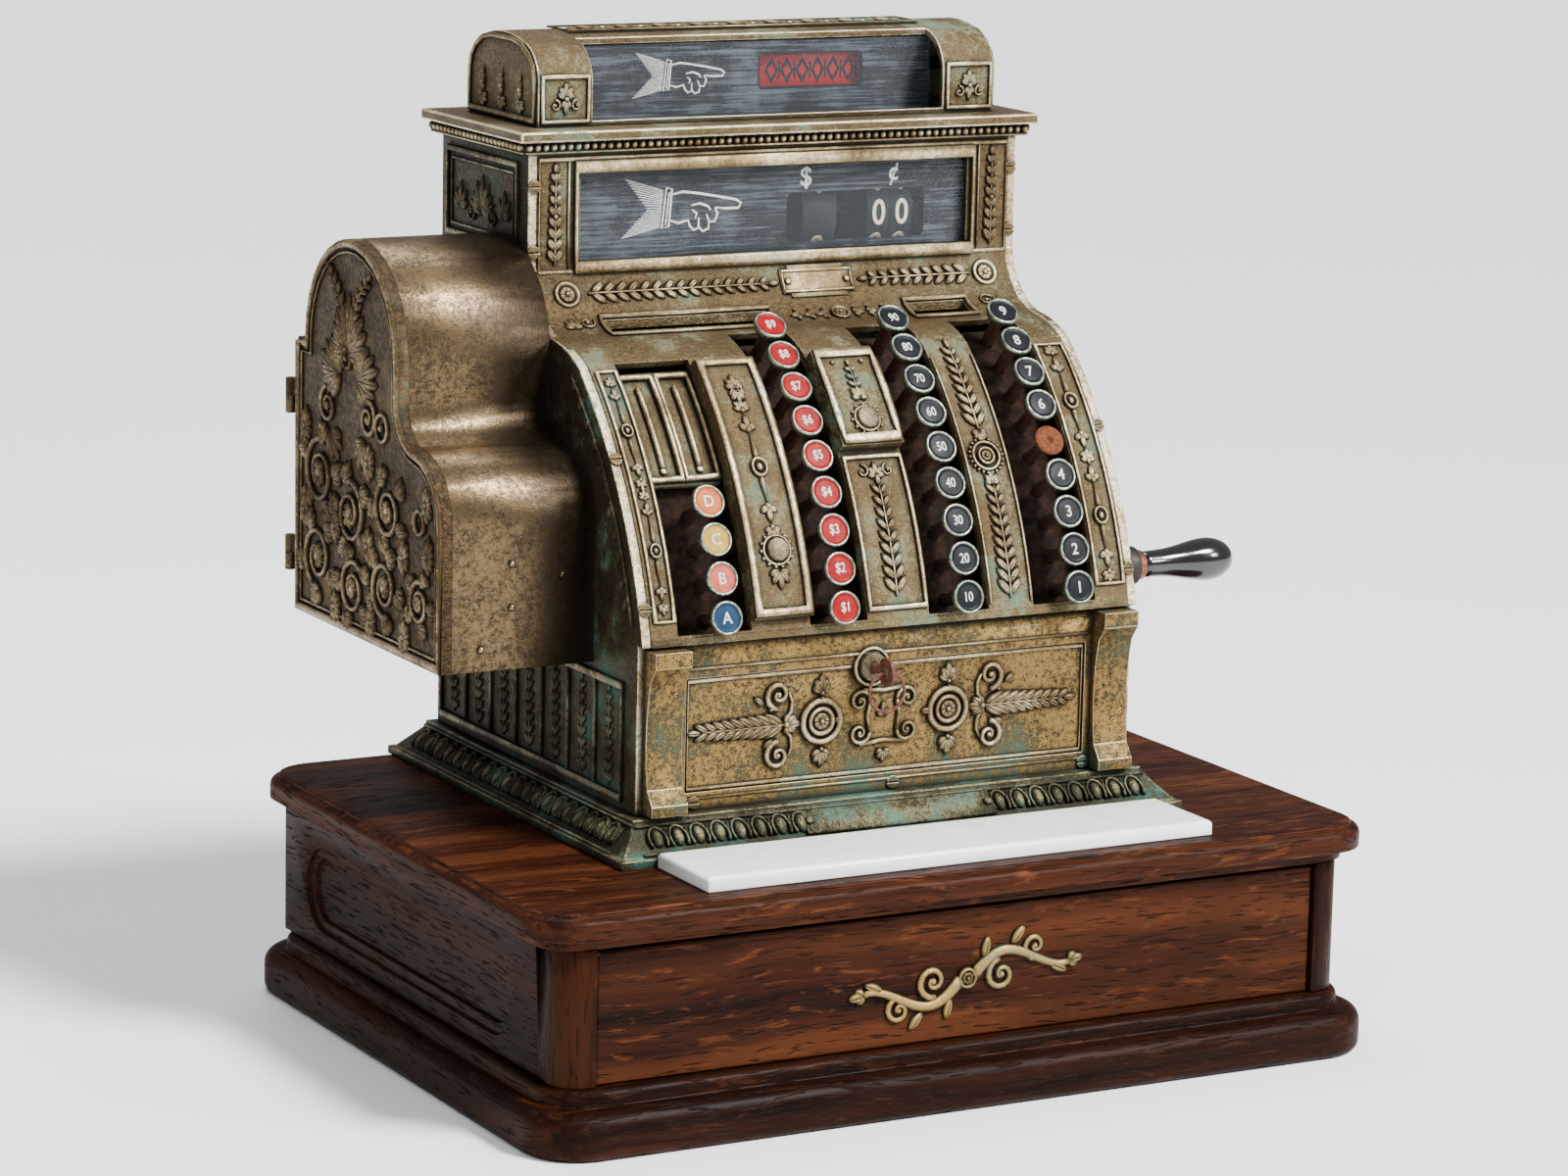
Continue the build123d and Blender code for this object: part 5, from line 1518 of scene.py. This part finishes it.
def drawHand(name, place, size, y, facing):
    # a cuff and a pointing hand in white line, drawn for this piece
    strokes = [
        # wrist and back of the hand up to the fingertip
        [
            (-0.30, 0.16), (-0.10, 0.20), (0.12, 0.17), (0.40, 0.12), (0.66, 0.07), (0.74, 0.02),
            (0.70, -0.04), (0.52, -0.04), (0.36, -0.02)
        ],
        [(0.36, -0.02), (0.40, -0.10), (0.36, -0.20), (0.28, -0.20), (0.24, -0.10)],
        [(0.28, -0.20), (0.27, -0.29), (0.19, -0.32), (0.13, -0.26), (0.13, -0.14)],
        [(0.13, -0.27), (0.06, -0.30), (0.00, -0.24), (-0.02, -0.17), (-0.16, -0.20), (-0.30, -0.16)],
        [(0.02, 0.02), (0.14, 0.04), (0.26, 0.00), (0.30, -0.05)],
        [(0.04, -0.04), (0.10, -0.09), (0.08, -0.15)],
    ]
    cuff = [(-0.34, 0.26), (-0.26, 0.24), (-0.30, -0.24), (-0.40, -0.26)]
    vertices = []
    faces = []

    def spot(u, v, depth=0.0):
        vertices.append(((place[0] + facing * u * size) * mm, (y + depth) * mm, (place[1] + v * size) * mm))
        return len(vertices) - 1

    def ribbon(points, width):
        rows = []
        for index, (u, v) in enumerate(points):
            before = points[max(0, index - 1)]
            after = points[min(len(points) - 1, index + 1)]
            du, dv = after[0] - before[0], after[1] - before[1]
            reach = math.hypot(du, dv) or 1.0
            half = width / 2 * (0.6 if index in (0, len(points) - 1) else 1.0)
            rows.append([
                spot(u - dv / reach * half * s, v + du / reach * half * s, d) for d in (0.0, -0.05)
                for s in (-1, 1)
            ])
        for one, two in zip(rows, rows[1:]):
            faces.append((one[0], one[1], two[1], two[0]))
            faces.append((one[3], one[2], two[2], two[3]))
            faces.append((one[2], one[0], two[0], two[2]))
            faces.append((one[1], one[3], two[3], two[1]))
        faces.append((rows[0][0], rows[0][2], rows[0][3], rows[0][1]))
        faces.append((rows[-1][1], rows[-1][3], rows[-1][2], rows[-1][0]))

    for stroke in strokes:
        ribbon(stroke, 0.030)
    ribbon(cuff + [cuff[0]], 0.026)
    ribbon([(-0.30, 0.20), (-0.345, -0.22)], 0.030)
    for index in range(22):
        share = index / 21
        edgeU = -0.38 - 0.05 * share
        edgeV = 0.22 - 0.46 * share
        middle = 1.0 - abs(share - 0.5) * 2
        reach = 0.54 - 0.34 * middle
        ribbon(
            [(edgeU, edgeV), (edgeU - reach, edgeV + (0.16 if share < 0.5 else -0.12) * (1.0 - middle))],
            0.017
        )
    piece = meshObject(name, vertices, faces, [whitePaint], smooth=False)
    turnOutward(piece)
    return piece


def buildWindows():
    panes = softened("window_panes", "window_glass", 0.2 * mm, [windowClear])
    settle(panes, "cabinet", ["window_panes"])
    bodyPieces = [
        paintSheet("front_paint", windows["pane"], windows["figureCut"], 60.62, 0.3, windowPaint),
        paintSheet("rear_paint", windows["pane"], windows["rearFigureCut"], 157.9, 0.3, windowPaint),
        paintSheet("sign_front_paint", windows["signPane"], windows["signCut"], 88.62, 0.3, windowPaint),
        paintSheet("sign_rear_paint", windows["signPane"], windows["signCut"], 129.1, 0.3, windowPaint),
        drawHand("window_hand", (-52.0, 461.0), 44.0, 60.6, 1),
        drawHand("rear_window_hand", (52.0, 461.0), 44.0, 158.3, -1),
        drawHand("sign_hand", (-42.0, 532.0), 34.0, 88.6, 1),
        drawHand("sign_rear_hand", (-42.0, 532.0), 34.0, 129.5, 1),
    ]
    for text, x, size in (("$", 22.0, 15.0), ("¢", 79.0, 15.0)):
        bodyPieces.append(writing("money_sign_" + ("dollar" if text == "$" else "cent"), text,
                                  (x * mm, 60.56 * mm, 474.5 * mm), (1, 0, 0), (0, 0, 1), size * mm,
                                  whitePaint, 0.06))
    for piece in bodyPieces:
        settle(piece, "cabinet")


buildWindows()
print("windows done")

# indicator wheels and the sign drum
wheelLook = {"digitSize": 25.0, "radius": 31.0, "axis": (96.0, 452.4)}


def buildWheels():
    for node, body, lowX, width, marks in (
        ("dollar_wheel", "dollar_indicator", 23.0, 22.0, ""),
        ("tens_wheel", "tens_indicator", 65.0, 14.6, "0"),
        ("cents_wheel", "cents_indicator", 80.0, 14.6, "0"),
    ):
        wheel = softened(node, f"{node}_drum", 0.3 * mm, [wheelBlack])
        settle(wheel, body, [node])
        digits = []
        for step in range(10):
            text = str(step) if marks or step else ""
            if not text:
                continue
            turn = math.pi - 2 * math.pi * step / 10
            out = Vector((0.0, math.cos(turn), math.sin(turn)))
            up = Vector((1.0, 0.0, 0.0)).cross(out) * -1.0
            place = Vector((lowX + width / 2, wheelLook["axis"][0], wheelLook["axis"][1])) * mm
            place += out * (wheelLook["radius"] + 0.15) * mm
            digits.append(writing(f"{body}_{step}", text, place, (1, 0, 0), up,
                                  wheelLook["digitSize"] * 0.82 * mm,
                                  creamPaint, 0.5, 0.86))
        joinInto(digits[0], digits[1:])
        digits[0].name = f"{body}_figures"
        settle(digits[0], body)
    drum = softened("sign_drum", "sign_tablet_drum", 0.5 * mm, [wheelBlack])
    settle(drum, "transaction_sign", ["sign_drum"])
    # each face carries a red tablet with a dark lozenge row
    plates = []
    for turnStep in range(4):
        turn = math.pi + turnStep * math.pi / 2
        out = Vector((0.0, math.cos(turn), math.sin(turn)))
        up = Vector((1.0, 0.0, 0.0)).cross(out) * -1.0
        ground = Flat(Vector((42.0, 109.0, 532.0)) + out * 13.0, (1, 0, 0), up)
        if ground.out.dot(out) < 0:
            ground = Flat(Vector((42.0, 109.0, 532.0)) + out * 13.0, (-1, 0, 0), up)
        tablet = Relief(ground, 0.6)
        tablet.slab(-33.0, 33.0, -9.6, 9.6, 0.6, rim=0.2)
        plate = tablet.build(f"tablet_{turnStep}", discMaterials["red"], None)
        marks = Relief(ground, 0.3)
        for index in range(6):
            u = -25.0 + index * 10.0
            marks.strand(
                [(u, -6.0), (u + 3.6, 0.0), (u, 6.0), (u - 3.6, 0.0)], 1.5, 0.3, closed=True, lift=0.55,
                flat=True
            )
            marks.strand([(u + 5.0, -5.0), (u + 5.0, 5.0)], 0.9, 0.3, lift=0.55, flat=True)
        lines = marks.build(f"tablet_marks_{turnStep}", wheelBlack, None)
        plates += [plate, lines]
    joinInto(plates[0], plates[1:])
    plates[0].name = "sign_tablets"
    settle(plates[0], "transaction_sign")


buildWheels()
print("wheels done")

# push keys: rusty stem, nickel cup, glass-topped disc and its numeral
keyLook = {
    "sides": 40,
    "capRadius": 9.5,
    "discRadius": 7.9,
    "capTop": 278.4,
    "stemRadius": 3.5,
    "stemStart": 236.0,     # from the arc's centre
    "pitch": 4.43,          # degrees from key to key
    "first": 15.0,
    "bare": "key_cents_5",  # this one has lost its printed disc
}
keyBanks = {
    "transaction": (
        -109.3,
        [("key_a", "A", "blue"), ("key_b", "B", "pink"), ("key_c", "C", "yellow"), ("key_d", "D", "orange")]
    ),
    "dollar": (-36.8, [(f"key_dollar_{n}", f"${n}", "red") for n in range(1, 10)]),
    "tens": (41.2, [(f"key_tens_{n}0", f"{n}0", "black") for n in range(1, 10)]),
    "cents": (112.5, [(f"key_cents_{n}", str(n), "black") for n in range(1, 10)]),
}


def ringFaces(rings, sides):
    faces = []
    for ring in range(rings - 1):
        for side in range(sides):
            after = (side + 1) % sides
            low, high = ring * sides, (ring + 1) * sides
            faces.append((low + side, low + after, high + after, high + side))
    return faces


def buildKey(node, label, colour, x, angle):
    turn = math.radians(angle)
    out = Vector((0.0, -math.cos(turn), math.sin(turn)))
    up = Vector((0.0, math.sin(turn), math.cos(turn)))
    right = Vector((1.0, 0.0, 0.0))
    axle = Vector((x, arcCentre[0], arcCentre[1]))
    top = keyLook["capTop"]
    rim, inside, stem = keyLook["capRadius"], keyLook["discRadius"], keyLook["stemRadius"]
    bare = node == keyLook["bare"]
    cup = [
        (stem, top - 5.0), (rim - 1.4, top - 4.8), (rim - 0.3, top - 4.1), (rim, top - 3.2),
        (rim, top - 1.1), (rim - 0.35, top - 0.3), (rim - 0.8, top), (inside + 0.35, top - 0.05),
        (inside, top - 0.5), (inside, top - 0.9),
    ]
    disc = [
        (inside, top - 0.9), (inside * 0.75, top - 0.66), (inside * 0.4, top - 0.55), (0.0, top - 0.5),
    ]
    if bare:
        cup = [(stem, top - 5.0), (rim - 1.0, top - 4.4), (rim - 0.6, top - 3.6), (rim - 1.0, top - 2.9)]
        disc = [
            (rim - 1.0, top - 2.9), (5.6, top - 2.5), (4.2, top - 2.7), (3.0, top - 2.5), (2.2, top - 2.9),
            (2.0, top - 4.2), (0.0, top - 4.3),
        ]
    start = keyLook["stemStart"]
    shaft = [(0.0, start), (stem, start), (stem, top - 5.0)]
    profile = [(r, h, 0) for r, h in shaft]
    profile += [(r, h, 1) for r, h in cup[1:]]
    profile += [(r, h, 2) for r, h in disc[1:]]
    vertices = []
    sides = keyLook["sides"]
    for radius, reach, _ in profile:
        for side in range(sides):
            spin = 2 * math.pi * side / sides
            place = axle + out * reach + right * radius * math.cos(spin) + up * radius * math.sin(spin)
            vertices.append(place * mm)
    faces = ringFaces(len(profile), sides)
    which = [finish for _, _, finish in profile[1:] for _ in range(sides)]
    finishes = [rustyIron, rustDisc if bare else nickelRing, rustDisc if bare else discMaterials[colour]]
    piece = meshObject(f"{node}_cap", vertices, faces, finishes, faceMaterials=which)
    turnOutward(piece)
    if not bare:
        place = (axle + out * (top - 0.52)) * mm
        size = {1: 9.0, 2: 7.6}[len(label)]
        mark = writing(
            f"{node}_mark", label, place, right, up, size * mm, whitePaint, 0.16,
            0.80 if len(label) > 1 else 0.95
        )
        joinInto(piece, [mark])
    settle(piece, node, [node])


def buildKeys():
    for x, entries in keyBanks.values():
        for number, (node, label, colour) in enumerate(entries):
            buildKey(node, label, colour, x, keyLook["first"] + number * keyLook["pitch"])


buildKeys()
print("keys done")

# crank, grip, lock key, ring and the works inside
crankLook = {
    "restAngle": 191.2,
    "axis": (45.0, 285.0),
    "reach": 113.2,
    "gripSides": 48,
    "gripBore": 3.7,
    "boreDepth": 176.0,
}


def buildCrank():
    arm = softened("crank_arm", "crank_lever", 1.4 * mm, [darkIron, copperCollar],
                   pick=lambda face: 1 if face.center.x > 0.1692 and face.center.y < 0.0 else 0)
    settle(arm, "crank", ["crank_arm"])
    turn = math.radians(crankLook["restAngle"])
    gripY = crankLook["axis"][0] + crankLook["reach"] * math.cos(turn)
    gripZ = crankLook["axis"][1] + crankLook["reach"] * math.sin(turn)
    profile = [
        (174.3, 3.7), (174.3, 6.6), (174.9, 7.4), (178.0, 7.5), (184.0, 7.7), (190.0, 8.1), (196.0, 8.9),
        (202.0, 10.1), (208.0, 11.3), (214.0, 12.2), (219.0, 12.4), (224.0, 11.6), (228.5, 9.8),
        (231.5, 7.6), (233.3, 4.8), (234.0, 1.6), (234.0, 0.0),
    ]
    sides = crankLook["gripSides"]
    bore = crankLook["gripBore"]
    vertices = []
    for x, radius in profile:
        for side in range(sides):
            spin = 2 * math.pi * side / sides
            vertices.append(
                (x * mm, (gripY + radius * math.cos(spin)) * mm, (gripZ + radius * math.sin(spin)) * mm)
            )
    faces = ringFaces(len(profile), sides)
    # the bore runs in to meet the spindle and is closed at its end
    inner = len(vertices)
    for side in range(sides):
        spin = 2 * math.pi * side / sides
        vertices.append((
            crankLook["boreDepth"] * mm, (gripY + bore * math.cos(spin)) * mm,
            (gripZ + bore * math.sin(spin)) * mm,
        ))
    for side in range(sides):
        after = (side + 1) % sides
        faces.append((inner + side, inner + after, after, side))
    faces.append(tuple(inner + side for side in range(sides)))
    grip = meshObject("crank_handgrip", vertices, faces, [blackGrip])
    turnOutward(grip)
    settle(grip, "crank_grip", ["crank_grip"])


def dress(node, material):
    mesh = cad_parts[node].data
    mesh.materials.clear()
    mesh.materials.append(material)


def buildLockKey():
    key = softened("lock_key", "small_key", 0.4 * mm, [rustyIron])
    settle(key, "lock_key", ["lock_key"])
    dress("key_ring", rustyIron)


buildCrank()
buildLockKey()
for node in ("main_frame", "cam_shaft", "printer_mechanism"):
    dress(node, darkIron)
dress("paper_roll", paperOld)
print("crank, lock key and works done")

# brass flourish on the drawer front, in place of any lettering
flourish = {"middle": (0.0, 69.0), "tilt": math.radians(10.0), "thick": 2.4}


def buildFlourish():
    relief = Relief(Flat((flourish["middle"][0], -178.0, flourish["middle"][1]), (
        math.cos(flourish["tilt"]), 0, math.sin(flourish["tilt"])
    ),
                         (-math.sin(flourish["tilt"]), 0, math.cos(flourish["tilt"]))), flourish["thick"])
    for side in (-1, 1):
        curve = [
            (side * (4.0 + 60.0 * t), side * 9.0 * math.sin(t * math.pi * 1.55))
            for t in [i / 16 for i in range(17)]
        ]
        relief.strand(curve, (6.6, 3.4), flourish["thick"])
        relief.scroll(side * 21.0, -side * 4.0, 9.4, math.pi / 2 * side, 1.4, 3.6, side, 2.2)
        relief.scroll(side * 44.0, side * 6.0, 7.6, -math.pi / 2 * side, 1.3, 3.2, -side, 2.0)
        relief.fan(side * 63.5, -side * 8.4, 0.0 if side > 0 else math.pi, 3, 1.3, 10.0, 5.0)
        for u, v, aim in ((30.0, 11.0, 0.7), (52.0, -7.0, -0.6), (12.0, 8.0, 1.2)):
            relief.put(
                "leaf", side * u, side * v, (aim if side > 0 else aim + math.pi) - math.pi / 2, 5.2, 13.0
            )
    relief.rosette(0.0, 0.0, 6.0, 8, 2.4)
    relief.build("drawer_flourish", brassScript, "drawer")


buildFlourish()
print("drawer flourish done")

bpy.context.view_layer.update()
